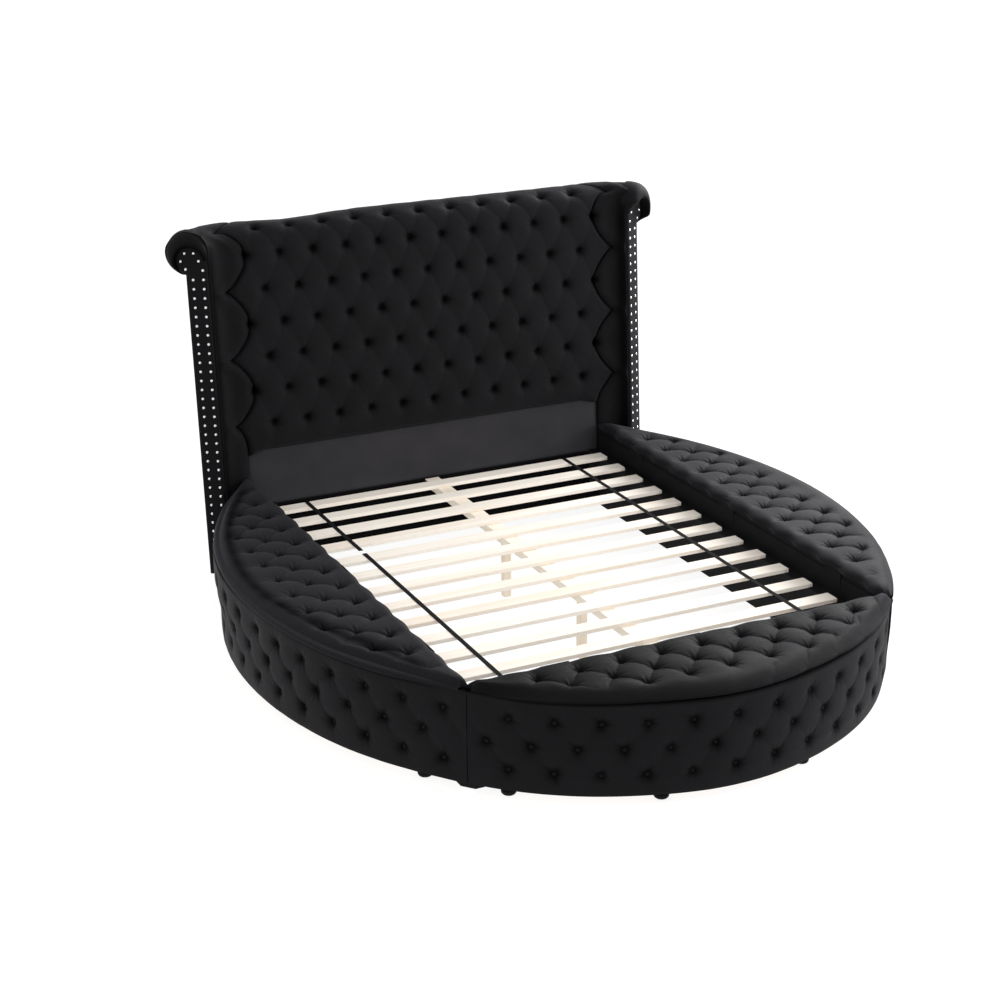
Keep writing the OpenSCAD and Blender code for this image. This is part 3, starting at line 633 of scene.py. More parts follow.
def pit_shade(x, y, along, across, radius):
    """How much painted shade lies at an offset from a button: a bell with a ragged rim.

    Three and five waves round the button, and a size of its own, vary the radius.
    """
    number = own_number(x, y, along, across)
    turn = np.arctan2(across, along)
    three, five = np.sin(3 * turn + number), np.sin(5 * turn + 2.3 * number)
    ragged = 1 - 0.12 * three - 0.08 * five + 0.12 * np.sin(1.7 * number)
    return np.exp(-(np.hypot(along, across) * ragged / radius) ** 2)


print("creases and crushed pile ready")

# %% [markdown]
# The buttons are covered in a darker copy of the velvet, painted shade for their place in the pits: low
# domes, sunk in their pits.
# There are many, so each has under a hundred faces, and one mesh holds all the
# buttons of a pad. Every dome is turned to face straight out of the cloth.

# %% Buttons
button_r = 7.5 * MM
button_h = 3 * MM
button_rings, button_sides = 5, 18


def buttons(name, spots, outward, body):
    """Covered buttons: domes on the given points, each facing its own outward direction.

    A dome's ring at share t of its height stands at radius r cos(t 90 deg) and height h sin(t 90 deg).
    """
    t = np.linspace(0, math.pi / 2 * 0.97, button_rings)
    around = np.arange(button_sides) * 2 * math.pi / button_sides
    dome = np.stack([np.outer(np.cos(t), np.cos(around)) * button_r,
                     np.outer(np.cos(t), np.sin(around)) * button_r,
                     np.outer(np.sin(t), np.ones(button_sides)) * button_h], -1)
    skirt = dome[:1] - (0, 0, 0.6 * button_h)
    dome = np.concatenate([skirt, dome]).reshape(-1, 3)
    spots, outward = np.asarray(spots), np.asarray(outward)
    outward = outward / np.linalg.norm(outward, axis=1)[:, None]
    side = np.cross(outward, (0.13, 0.21, 0.97))
    side /= np.linalg.norm(side, axis=1)[:, None]
    up = np.cross(outward, side)
    points = (spots[:, None] + dome[None, :, :1] * side[:, None] + dome[None, :, 1:2] * up[:, None]
              + dome[None, :, 2:] * outward[:, None])
    size = len(dome)
    one = cells(button_rings + 1, button_sides, True)
    quads = np.concatenate([one + k * size for k in range(len(spots))])
    first = np.arange(button_sides)
    ends = []
    for k in range(len(spots)):
        ends += [first + k * size, first[::-1] + (k + 1) * size - button_sides]
    # The buttons wear a darker copy of the velvet: painted shade.
    piece(name, points.reshape(-1, 3), quads, shaded_button_velvet, body, "black_velvet", ends=ends)


print("one button has", button_rings * button_sides + 2, "faces")

# %% [markdown]
# The headboard is one skin carried across the flat middle and round the two
# wings, and it leans back. A point of it has three numbers: u across the face,
# h up the padding and over the roll, and how far it stands out. Working in
# these numbers keeps the cloth even where the wing and the roll bend it. The
# frame gives the face's foot, and the wings' sizes are the part's own.

# %% Headboard surface
lean = math.radians(3.9)
head_half = 775 * MM
wing_r = 145 * MM
wing_turn = math.radians(57)
head_u = head_half + wing_r * wing_turn
roll_h = 1298 * MM
roll_s = 78 * MM
roll_r = 92 * MM
crest_h = roll_h + roll_r * math.pi / 2
head_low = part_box("headboard_board")[0].z
face_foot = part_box("plain_lower_panel")[0].y - head_low * math.tan(lean)


def leaned(x, s, z):
    """Tilts the headboard's upright axes back by its lean: s backwards from the face, z up it."""
    return np.stack([x + 0 * z, face_foot + s * math.cos(lean) + z * math.sin(lean),
                     z * math.cos(lean) - s * math.sin(lean)], -1)


def across_head(u, s, z):
    """Carries s and z across the head: straight to head_half, then round the wing's circle.

    Past head_half by an angle p, a point stands at (wing_r + s) times the sine and cosine of p.
    """
    past = np.maximum(np.abs(u) - head_half, 0) / wing_r
    x = np.sign(u) * (np.minimum(np.abs(u), head_half) + (wing_r + s) * np.sin(past))
    return leaned(x, (wing_r + s) * np.cos(past) - wing_r, z)


def front_skin(u, h, out):
    """A point on the face, or on the roll's circle past roll_h, that stands out before it."""
    turn = math.pi - np.maximum(h - roll_h, 0) / roll_r
    r = roll_s + out
    s = np.where(h <= roll_h, -out, roll_s + r * np.cos(turn))
    z = np.where(h <= roll_h, h, roll_h + r * np.sin(turn))
    return across_head(u, s, z)


print("headboard measures", round(2 * head_u, 3), "m round its wings")

# %% [markdown]
# The buttoned field is wider than the flat face and ends in scallops, because
# every other row reaches round into the wing and is tucked there. Its lattice
# stands a little to the right of the bed's middle. Over the roll the cloth lies
# on a wider circle than the board, which stretches its rows.

# %% The field's outline
tuft_base = 486 * MM
tuft_corner = 468 * MM
tuft_first = 593 * MM
tuft_shift = 21 * MM
tuft_stand = 26 * MM
corner_from = 0.9
scallop_power = 0.85
head_tufts = Tufting(136.6 * MM, 133 * MM, 7, fade_low=0.2, fade_high=0.2)
field_tip = 5.5 * head_tufts.pitch
field_tuck = 87 * MM
roll_start = 1230 * MM


def tuft_edge(share):
    """Height of the pad's lower edge at a share of the half width: level, and lower in the corners."""
    return tuft_base - (tuft_base - tuft_corner) * ease((np.abs(share) - corner_from) / (1 - corner_from))


def cloth_y(h):
    """Height up the cloth from the first row. Over the roll the cloth is tuft_stand further out."""
    return h - tuft_first + np.maximum(h - roll_h, 0) * tuft_stand / roll_r


def cloth_h(y):
    """The height up the padding of a point at y up the cloth."""
    past = np.maximum(y - (roll_h - tuft_first), 0)
    return y + tuft_first - past * tuft_stand / (roll_r + tuft_stand)


def field_half(h):
    """Half the field's width: a sine's arcs between tucks, and a last arc down to the panel."""
    y = cloth_y(h)
    arc = np.abs(np.sin(math.pi * y / (2 * head_tufts.row))) ** scallop_power
    low = np.sin(math.pi / 2 * np.clip(-y / (tuft_first - tuft_corner), 0, 1)) ** scallop_power
    reach = field_tip + field_tuck
    return np.where(y > 0, reach - field_tuck * arc, reach - (reach - head_half) * low)


def over_roll(h):
    """Share of the way from the top of the flat face, 0, to the crest, 1."""
    return ease((h - roll_start) / (crest_h - roll_start))


def field_middle(h):
    """The field's middle: shifted like its buttons, and on the bed's middle at the panel and crest."""
    return tuft_shift * ease((h - tuft_corner) / (tuft_first - tuft_corner)) * (1 - over_roll(h))


print("field is", round(2 * (field_tip + field_tuck), 3), "m wide at its tucks")

# %% [markdown]
# The crest of a used headboard is not level. It is worn down at its left end,
# it sags beside that, and it is full at the right. This is one small height
# that the face, the back and the roll's ends all take off the padding, so they
# still meet.

# %% The worn crest
roll_droop = 5 * MM
roll_sag = 13 * MM
roll_sag_u = -530 * MM
roll_sag_w = 180 * MM
roll_lift = 1 * MM
last_row_h = 1350 * MM


def drooped(u, h):
    """How far the crest is worn down: an eased drop to the left, a bell of a sag, less the right's rise."""
    left = roll_droop * ease((-u - 0.85 * head_half) / (head_u - 0.9 * head_half))
    sag = roll_sag * bell(u - roll_sag_u, roll_sag_w)
    right = roll_lift * ease((u - 0.5) / 0.3)
    return (left + sag - right) * ease((h - last_row_h) / (crest_h - last_row_h))


print("crest sags by", roll_sag)

# %% [markdown]
# The padding's height over the board is the sum of what the maker did: stuffing
# that stands out, folds that run between the buttons, a pit at each button, a
# crease where the field meets the wing's smooth lobe, and a deep tuck at the
# end of every other row. Both sides of the crease rise from it as a quarter
# round, so the diamonds and the lobe look like two stuffed pads that touch.

# %% Padding of the headboard
roll_stand = 6 * MM
wing_stand = 4 * MM
wing_lobe = 20 * MM
wing_round = 30 * MM
wing_fall = 80 * MM
crease_out = 3 * MM
field_round = 22 * MM
head_fold = 6.5 * MM
head_fan = 2 * MM
head_dip = 23 * MM
head_dip_r = 29 * MM
tuck_depth = 12 * MM
tuck_size = 22 * MM
first_row_reach = 60 * MM


def in_field(x, y, along):
    """Whether the nearest button of the lattice is a real one."""
    return (np.abs(x - along) < field_tip + 10 * MM) & (y > -first_row_reach)


def head_out(u, h):
    """How far the headboard's padding stands out: stuffing less folds, pits, tucks and wear.

    Both sides start from the same crease, and each rises from it by a quarter round.
    """
    x, y, roll = u - field_middle(h), cloth_y(h), over_roll(h)
    puff, along, across = head_tufts.measure(x, y)
    beyond = np.abs(x) - field_half(h)
    swell = 1 + 0.15 * drift(u, h, 0.3, 3)
    fold = (1 - puff) * head_fold * swell * gathered(along, across, 0.35)
    fold = fold + fan(x, y, along, across, head_fan)
    pit = head_dip * dip(along, across, head_dip_r) * in_field(x, y, along) * (1 - 0.4 * roll)
    stand = tuft_stand + (roll_stand - tuft_stand) * roll
    field = crease_out + (stand - fold - crease_out) * drawn_in(-beyond, radius=field_round)
    flatter = np.maximum(ease((beyond - wing_round) / wing_fall), 0.8 * roll)
    lobe = wing_lobe + (wing_stand - wing_lobe) * flatter
    wing = crease_out + (lobe - crease_out) * drawn_in(beyond, radius=wing_round)
    at_tuck = y - 2 * head_tufts.row * np.round(np.maximum(y, 0) / (2 * head_tufts.row))
    from_tuck = np.hypot(np.abs(x) - field_tip - field_tuck, at_tuck)
    out = np.where(beyond > 0, wing, field) - pit - tuck_depth * bell(from_tuck, tuck_size)
    return out + 0.7 * MM * drift(u, h, 0.05, 5) - drooped(u, h)


print("padding stands out by", tuft_stand, "on the face and", roll_stand, "on the crest")

# %% [markdown]
# Shade is painted into the headboard's pile in three places: in the pits, down in the crease beside the
# field, and in a band along the wings' front edges. The light comes from the right, so a pit's painted
# shade sits a little to that side.

# %% Painted shade of the headboard
head_shade_r = 15 * MM
head_shade_shift = 4 * MM
crease_dark = 5 * MM
wing_shade_in = 18 * MM
wing_shade_w = 26 * MM


def head_shade(u, h):
    """Painted shade on the headboard: the sum of the pits, the crease and the band along the wings' front
    edges.
    """
    x, y = u - field_middle(h), cloth_y(h)
    _, along, across = head_tufts.measure(x, y)
    pits = 0.95 * in_field(x, y, along) * pit_shade(x, y, along - head_shade_shift, across, head_shade_r)
    crease = 0.6 * bell(np.abs(x) - field_half(h), crease_dark)
    band = 0.7 * bell(head_u - np.abs(u) - wing_shade_in, wing_shade_w) * (1 - over_roll(h))
    return pits + crease + band


print("pits are", 2 * head_shade_r, "m across")

# %% [markdown]
# Now the three pads of the face are made: the buttoned one, and a smooth one on
# each wing that shares its scalloped edge. Their grids follow that edge, so no
# quad straddles the crease. The inner skin lies on the board and on the roll's
# round core. A button sits at the bottom of each pit and faces out of it.

# %% Headboard pads
pad_t = 34 * MM
roll_core_r = 64 * MM
skin_gap = 1.5 * MM
crest_past = math.radians(40)
crest_end = crest_h + roll_r * crest_past
edge_roll = 22 * MM
edge_under = 2 * MM


def head_in(h):
    """The pad's inner skin: the board's front, then the roll's core, whichever stands further out."""
    low = roll_h - h
    core = roll_s - np.sqrt(np.maximum(roll_core_r ** 2 - low ** 2, 0))
    s = np.where(low > roll_core_r, pad_t, np.minimum(pad_t, core))
    return np.where(h > roll_h, roll_core_r - roll_s, -s) + skin_gap


def hem(out, above):
    """The pad's lower edge: a quarter round back to the panel, by how far a point is above it."""
    return (out + edge_under) * drawn_in(above, radius=edge_roll) - edge_under


def head_piece(name, u, h, out, finish, node):
    """A padded slab of the headboard between its skins, over a grid of u and h."""
    outer = front_skin(u, h, out)
    inner = front_skin(u, h, head_in(h) + 0 * u)
    made = slab(name, outer, inner, finish, "base", "black_velvet", pit=head_shade(u, h))
    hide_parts(node)


share = np.linspace(-1, 1, steps(2 * head_half))[:, None]
pad_low = tuft_edge(share)
field_h = pad_low + (crest_end - pad_low) * np.linspace(0, 1, steps(crest_end - tuft_base))[None, :]
field_u = share * field_half(field_h) + field_middle(field_h)
field_out = hem(head_out(field_u, field_h), field_h - pad_low)
head_piece("tufted_headboard_pad", field_u, field_h, field_out, black_velvet, "tufted_head_pad")

wing_low = head_low + 2 * MM
for side, label in ((-1, "left"), (1, "right")):
    q = np.linspace(0, 1, steps(head_u - head_half))[:, None]
    wing_h = np.linspace(wing_low, crest_end, steps(crest_end - head_low))[None, :] + 0 * q
    edge = side * field_half(wing_h) + field_middle(wing_h)
    wing_u = edge + q * (side * head_u - edge)
    wing_out = head_out(wing_u, wing_h)
    head_piece(label + "_wing_pad", wing_u, wing_h, wing_out, wing_velvet, "wing_pad_" + label)

spots = np.array(head_tufts.places(-field_tip - 1 * MM, field_tip + 1 * MM))
spot_h = cloth_h(spots[:, 1])
spot_u = spots[:, 0] + field_middle(spot_h)
seat = front_skin(spot_u, spot_h, head_out(spot_u, spot_h))
ahead = front_skin(spot_u, spot_h, head_out(spot_u, spot_h) + 0.01)
buttons("headboard_buttons", seat, ahead - seat, "base")
print("headboard face made, buttons:", len(spots))

# %% [markdown]
# Below the buttons the headboard is plain: one lighter panel, stretched over thin padding and drawn in a
# little at its edges. Below the slats it lies in deep shade, and that shade is painted: its pile there is
# given no shine at all.

# %% Plain panel
panel_crown = 3 * MM
panel_edge = 40 * MM
shade_blend = 12 * MM
panel_low = head_low + 2 * MM
shade_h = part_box("slat_13")[0].z / math.cos(lean)

u = np.linspace(-head_half, head_half, steps(2 * head_half) // 2)[:, None]
panel_high = tuft_edge(u / head_half) - 1 * MM
h = panel_low + (panel_high - panel_low) * np.linspace(0, 1, steps(tuft_base - head_low) // 2)[None, :]
rise = drawn_in(head_half - np.abs(u) + 0 * h, h - panel_low, radius=panel_edge)
panel_out = panel_crown * (rise - 0.3) + 0.8 * MM * drift(u, h * 0.3, 0.25, 11)
# Painted shade below the slats.
panel_shade = 0.9 * (1 - ease((h - shade_h) / shade_blend)) + 0 * u
panel = slab("plain_panel", across_head(u, -panel_out, h), across_head(u, pad_t - skin_gap + 0 * u, h),
             panel_velvet, "base", "panel_velvet", pit=panel_shade)
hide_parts("plain_lower_panel")
print("panel made, from", round(panel_low, 3), "to", round(tuft_base, 3), "m up the face")

# %% [markdown]
# The back is plain too. Its cover runs up the back of the board and out round
# the rear of the roll to the crest, where it meets the face's cloth. A shallow
# groove marks the line where the roll begins.

# %% Back
head_t = 80 * MM
board_back = 62 * MM
back_crown = 4 * MM
back_groove = 5 * MM
back_groove_w = 18 * MM
back_tuck = 8 * MM
back_tuck_w = 80 * MM
back_turn = math.acos((head_t - roll_s) / roll_r)
back_low = head_low + (head_t + 10 * MM) * math.sin(lean)
back_join = roll_h - roll_r * math.sin(back_turn)
back_length = back_join - back_low + roll_r * (back_turn + math.pi / 2 - crest_past)


def back_skin(u, k, flat_s, round_r):
    """A point on the back at length k up it: straight at flat_s, then round the roll at round_r."""
    flat = k <= back_join - back_low
    turn = (k - (back_join - back_low)) / roll_r - back_turn
    s = np.where(flat, flat_s, roll_s + round_r * np.cos(turn))
    z = np.where(flat, back_low + k, roll_h + round_r * np.sin(turn))
    return across_head(u, s, z)


u = np.linspace(-head_u, head_u, steps(2 * head_u) * 2 // 3)[:, None]
k = np.linspace(0, back_length, steps(back_length) * 2 // 3)[None, :]
back_out = back_crown * (drawn_in(head_u - np.abs(u) + 0 * k, k + 0 * u, radius=panel_edge) - 0.4)
back_out = back_out - back_groove * bell(np.abs(k - (back_join - back_low)), back_groove_w)
back_out = back_out + 0.9 * MM * drift(u, k * 0.5, 0.3, 12)
back_out = back_out - drooped(u, crest_h + 0 * k) * ease((k - back_join + back_low) / (60 * MM))
back_out = back_out - back_tuck * ease((k - back_length + back_tuck_w) / back_tuck_w)
back = slab("headboard_back_cover", back_skin(u, k, head_t + back_out, roll_r + back_out),
            back_skin(u + 0 * k, k + 0 * u, board_back + skin_gap, roll_core_r + skin_gap),
            black_velvet, "base", "black_velvet")
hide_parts("headboard_back")
print("back made, of", round(back_length, 3), "m of cloth")

# %% [markdown]
# Each wing ends in a nailed facing with a scroll at its top. It is a board
# under thin padding, so it has soft edges and a slight crown. It is made as
# rings up the board, each once round its section, and the nails that the frame
# holds stand in it.

# %% Facings
facing_t = 8 * MM
facing_in = 3 * MM
facing_over = 8 * MM
facing_edge = 9 * MM
facing_crown = 1.2 * MM
facing_crown_r = 30 * MM
scroll_r = 55 * MM
scroll_s = 69 * MM
scroll_h = 1265 * MM


def facing_point(side, s, h, ahead):
    """A point before a wing's front edge: s across it from the inner face, h up it, ahead out of it."""
    x = head_half + (wing_r + s) * math.sin(wing_turn) + ahead * math.cos(wing_turn)
    y = -wing_r + (wing_r + s) * math.cos(wing_turn) - ahead * math.sin(wing_turn)
    return leaned(side * x, y, h)


def facing(side, name, node):
    """Rings up the facing: flat behind, a quarter round at the edges in front, with a slight crown.

    The outline is a straight board that meets the scroll's circle, whose half width at a height
    is the root of the radius squared less the height over its centre squared.
    """
    foot = head_low + 3 * MM
    straight = np.linspace(foot, scroll_h - scroll_r, 150)
    over = scroll_h + scroll_r * -np.cos(np.linspace(0, math.pi, 40)[1:-1])
    h = np.concatenate([straight, over])[:, None]
    half = np.sqrt(np.maximum(scroll_r ** 2 - (h - scroll_h) ** 2, 0))
    left = np.maximum(np.where(h < scroll_h, facing_in, scroll_s - half), facing_in)
    right = np.maximum(np.where(h < scroll_h, head_t + facing_over, 0), scroll_s + half)
    q = (1 - np.cos(np.linspace(0, math.pi, 34)))[None, :] / 2
    s = left + q * (right - left)
    inside = np.minimum(s - left, right - s)
    above = (scroll_h + scroll_r - h) + 0 * s
    front = facing_t * drawn_in(inside, above, h - foot + 0 * s, radius=facing_edge)
    front = front + facing_crown * drawn_in(inside, radius=facing_crown_r)
    behind = (left + q[:, ::-1] * (right - left))[:, 1:-1:4]
    ring_s = np.concatenate([s, behind], 1)
    ring_out = np.concatenate([front, 0 * behind], 1)
    made = tube(name, facing_point(side, ring_s, h + 0 * ring_s, ring_out), cover_velvet,
                "base", "black_velvet")
    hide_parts(node)


print("scrolls are", 2 * scroll_r, "m across")

# %% [markdown]
# The roll's padding swells out round the scroll in one fat lobe, drawn in to
# the scroll by the nails. Every ray from the roll's middle is a profile: out to
# the lobe's tip as a quarter of an ellipse, and back down to the facing as
# another. The lobe is thin underneath, where there is no room for it.

# %% Roll ends
roll_end_back = 36 * MM
roll_end_full = 24 * MM
roll_end_swell = 14 * MM
# Painted shade on the lobe towards the scroll: its width, and how dark it is on each side.
roll_end_shade_w = 15 * MM
roll_reach = {"left": 24 * MM, "right": 48 * MM}
roll_end_shade = {"left": 0.85, "right": 0.4}


def roll_end_rim(side, e_s, e_h):
    """The lobe's inner and outer radius along a ray: the scroll's circle, and just outside the roll.

    The inner one solves |centre + r e - scroll| = the scroll's radius, a quadratic in r.
    """
    d_s, d_h = roll_s - scroll_s, roll_h - scroll_h
    along = d_s * e_s + d_h * e_h
    inner = -along + np.sqrt(along ** 2 - (d_s ** 2 + d_h ** 2 - scroll_r ** 2)) - 2 * MM
    rear, top = (1 + e_s) / 2, ease(e_h + 0.4)
    outer = roll_s + wing_stand + 7 * MM * rear - drooped(side * head_u, crest_h) * np.maximum(rear, top)
    return np.minimum(inner, outer - 4 * MM), outer


def roll_end(side, label):
    """The lobe over the roll's end: quarter ellipses out to its tip and in to the scroll, then its back."""
    turn = np.linspace(0, 2 * math.pi, 121)[:-1][:, None]
    e_s, e_h = np.cos(turn), np.sin(turn)
    inner, outer = roll_end_rim(side, e_s, e_h)
    room = np.clip((outer - inner) / roll_end_full, 0.25, 1)
    room = room * (0.45 + 0.55 * ease((np.cos(turn - math.radians(60)) + 0.75) / 0.5))
    tip = inner + 0.15 * (outer - inner)
    rise = np.linspace(0, math.pi / 2, 20)[None, :]
    fall = np.linspace(0, math.pi / 2, 10)[None, 1:]
    far, behind = roll_reach[label] * room, roll_end_back * room
    out_ahead = -behind + (behind + far) * np.sin(rise)
    in_ahead = 1 * MM + (far - 1 * MM) * np.cos(fall)
    swell = (roll_end_swell * np.sin(rise) ** 2 + 0.3 * MM) * np.cos(rise) * room
    out_r = outer - (outer - tip) * (1 - np.cos(rise)) + swell
    in_r = tip - (tip - inner) * np.sin(fall)
    back = np.linspace(0, 1, 6)[None, :]
    back_r = back[:, ::-1] * (inner - 1 * MM) + back * (outer - 7 * MM)
    back_ahead = -(4 * MM + (behind - 4 * MM) * back)
    r = np.concatenate([out_r, in_r, back_r], 1)
    ahead = np.concatenate([out_ahead, in_ahead, back_ahead], 1)
    rings = facing_point(side, roll_s + r * e_s, roll_h + r * e_h, ahead)
    size = rings.shape[1]
    quads = cells(len(rings) + 1, size, True) % (len(rings) * size)
    # The lobe carries painted shade towards the scroll.
    made = piece(label + "_roll_end", rings.reshape(-1, 3), quads, wing_velvet, "base", "black_velvet",
                 pit=roll_end_shade[label] * bell(r - inner, roll_end_shade_w))


for side, label in ((-1, "left"), (1, "right")):
    facing(side, label + "_facing", "wing_facing_" + label)
    roll_end(side, label)
print("facings and roll ends made")

# %% [markdown]
# The benches share one set of axes: x along the well's edge and w outwards from
# it. Each bench's outer wall is an arc, so its cover is worked out in angles
# about that arc's centre, and its lid in x and w. One class holds what differs
# from bench to bench, so one function can make all three covers and another all
# three lids. The frame's slat cleats give the well's foot edge.

# %% Bench axes
well_half = 780 * MM
well_l = 2038 * MM
head_clear = 27 * MM
slat_top = 271 * MM
box_z = 335 * MM
seam_gap = 1.5 * MM
inner_wall_t = 18 * MM
corner_in = 14 * MM
foot_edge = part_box("slat_cleats")[0].y
side_half = (well_l - head_clear) / 2
side_middle = foot_edge + side_half


@dataclass
class Bench:
    """A bench with half its chord, half its arc's angle, its place, and how it is upholstered."""

    name: str
    half: float
    arc: float
    origin: tuple
    along: tuple
    outward: tuple
    velvet: object
    pitch: float
    phase: float
    # how far the lid hangs over, its outer shoulder's radius and the ledge outside it
    lid_over: float
    shoulder: float
    ledge: float = 0.0
    # extra stuffing over the well's edge, a slow rise of the shoulder, a groove on it with painted shade
    # along it
    fuller: float = 0.0
    slow_rise: bool = True
    shaded_groove: bool = False
    # the cover's bulge (below zero towards the other end), its tuck at the foot, its share of corner_in
    bulge: float = 0.0
    low_tuck: float = 0.0
    corner_share: float = 1.0

    def __post_init__(self):
        self.radius = self.half / math.sin(self.arc)
        self.centre = self.half / math.tan(self.arc)
        self.side = self.name != "foot"

    def point(self, x, w, z):
        """Carries x along the well, w outwards and z up into the frame."""
        return np.stack([self.origin[0] + self.along[0] * x + self.outward[0] * w,
                         self.origin[1] + self.along[1] * x + self.outward[1] * w, z + 0 * x], -1)

    def drawn(self, t):
        """How far covers and lids are drawn in towards the well's corners, t from -1 to 1."""
        return corner_in * (ease((t - 0.5) / 0.5) if self.side else ease((np.abs(t) - 0.05) / 0.4))

    def seam(self, t):
        """Height of the seam between cover and lid: it climbs a little towards the bench's ends."""
        return box_z + 16 * MM + 9 * MM * ease((np.abs(t) - 0.75) / 0.25)


benches = [
    Bench("left", side_half, math.radians(40), (-well_half, side_middle), (0, -1), (-1, 0),
          lid_velvet, 145.5 * MM, -9 * MM, lid_over=36 * MM, shoulder=40 * MM, ledge=22 * MM,
          shaded_groove=True, bulge=16 * MM, low_tuck=3 * MM),
    Bench("right", side_half, math.radians(40), (well_half, side_middle), (0, -1), (1, 0),
          lid_velvet, 145.5 * MM, -9 * MM, lid_over=14 * MM, shoulder=55 * MM, ledge=8 * MM,
          fuller=9 * MM, slow_rise=False, bulge=-6 * MM, low_tuck=18 * MM, corner_share=0.4),
    Bench("foot", well_half, math.radians(50), (0, foot_edge), (-1, 0), (0, -1),
          foot_velvet, 143.0 * MM, 39 * MM, lid_over=27 * MM, shoulder=76 * MM, low_tuck=8 * MM),
]
print("bench radii:", [round(b.radius, 3) for b in benches])

# %% [markdown]
# A cover is pinned flat at the top under the lid and at the bottom under the
# box. Between, three staggered rows of buttons quilt it, and pleats run from the
# outer buttons straight to its edges. It ends at the corner seams, and a side
# bench's cover also ends at the leaning headboard.

# %% Shape of a cover
rim_z = 30 * MM
cover_first = 104 * MM
cover_row = 87 * MM
button_clear = 40 * MM


def cover_angles(bench, r, z):
    """First and last angle of the cover at radius r: up to the corner seams, and the headboard on a side.

    A flat seam a gap away from the centre's ray is met at the arc sine of gap / r, and the inner
    wall at the arc cosine of its distance from the arc's centre over r.
    """
    last = bench.arc - np.arcsin(seam_gap / r)
    if not bench.side:
        return -last, last
    to_face = side_half + head_clear + (z - slat_top) * math.tan(lean) - 2 * seam_gap
    wall = np.arccos(np.minimum((bench.centre + inner_wall_t + 0.5 * MM) / r, 1))
    return -np.minimum(wall, np.arcsin(to_face / r)), last


def cover_skin(bench, t, z, out):
    """A point on the arc, t from -1 to 1 between the cover's two ends, that stands out from it."""
    r = bench.radius + out
    first, last = cover_angles(bench, r, z)
    a = first * (1 - t) / 2 + last * (1 + t) / 2
    return bench.point(r * np.sin(a), r * np.cos(a) - bench.centre, z)


def cover_x(bench, t, z):
    """Length along the bare arc at t."""
    first, last = cover_angles(bench, bench.radius, z)
    return (first * (1 - t) / 2 + last * (1 + t) / 2) * bench.radius


def cover_tufting(bench):
    """The lattice of a cover's buttons."""
    return Tufting(bench.pitch, cover_row, 3, bench.phase, 0.045, 0.05)


def cover_kept(bench, x):
    """Whether a button at x along the arc is clear of the cover's ends."""
    return np.abs(x) < bench.arc * bench.radius - button_clear


print("covers stand from", rim_z, "to", round(box_z + 16 * MM, 3))

# %% [markdown]
# The cover's padding is its full depth less everything that draws it in: the
# tucks at the top and bottom, the folds and the buttons' pull. A soft limit
# stops the sum at a thin cloth over the wall instead of cutting it off, so a
# deep pit keeps a round bottom.

# %% Padding of a cover
cover_t = 24 * MM
cover_fold = 6 * MM
cover_fan = 1.8 * MM
cover_dip = 17 * MM
cover_dip_r = 21 * MM
cover_shade_r = 19 * MM
cover_least = 2 * MM
cover_end = 60 * MM
cover_top_tuck = 7 * MM
foot_right_tuck = 12 * MM
seam_shade = 16 * MM


def cover_out(bench, t, z):
    """The cover's padding: least + room e to the minus (drop / room), for its full depth and its drop."""
    x = cover_x(bench, t, z)
    puff, along, across = cover_tufting(bench).measure(x, z - cover_first)
    height = (z - rim_z) / (bench.seam(t) - rim_z)
    low = np.sqrt(np.clip(5 * height, 0, 1))
    high = np.sqrt(np.clip(20 * (1 - height), 0, 1))
    end = drawn_in((1 - np.abs(t)) * bench.half + 0 * z, radius=cover_end)
    folds = cover_fold * (1 - puff) * gathered(along, across, 0.3) + fan(x, z, along, across, cover_fan)
    pull = cover_dip * dip(along, across, cover_dip_r) * cover_kept(bench, x - along)
    full = cover_t - bench.drawn(t) * (bench.corner_share - 0.6 * (x < 0) * (not bench.side))
    full = full + abs(bench.bulge) * ease((z - 0.12) / 0.14) * ease((0.2 - np.sign(bench.bulge) * t) / 0.5)
    tucked = bench.low_tuck + foot_right_tuck * ease(-x / 0.5) * (not bench.side)
    tucks = tucked * (1 - low) + cover_top_tuck * (1 - high)
    drop = tucks + (folds * (0.4 + 0.6 * low) + pull) * end - 0.8 * MM * drift(x, z, 0.07, 21)
    room = full - cover_least
    return cover_least + room * np.exp(-np.maximum(drop, 0) / room)


def cover_shade(bench, t, z):
    """Painted shade on a cover: round the buttons, and in the shade under the lid's seam."""
    x = cover_x(bench, t, z)
    _, along, across = cover_tufting(bench).measure(x, z - cover_first)
    pits = cover_kept(bench, x - along) * pit_shade(x, z, along, across, cover_shade_r)
    return pits + ease((z - bench.seam(t)) / seam_shade + 1)


print("covers are", cover_t, "m deep")

# %% [markdown]
# Each cover is a slab over the bent wall. Above the box it has to clear the
# lid's board, which stands out over the wall, so its inner skin steps out there
# too.

# %% Bench covers
board_over = 4 * MM
lining_gap = 0.6 * MM
board_clear = 5 * MM
least_cloth = 1 * MM


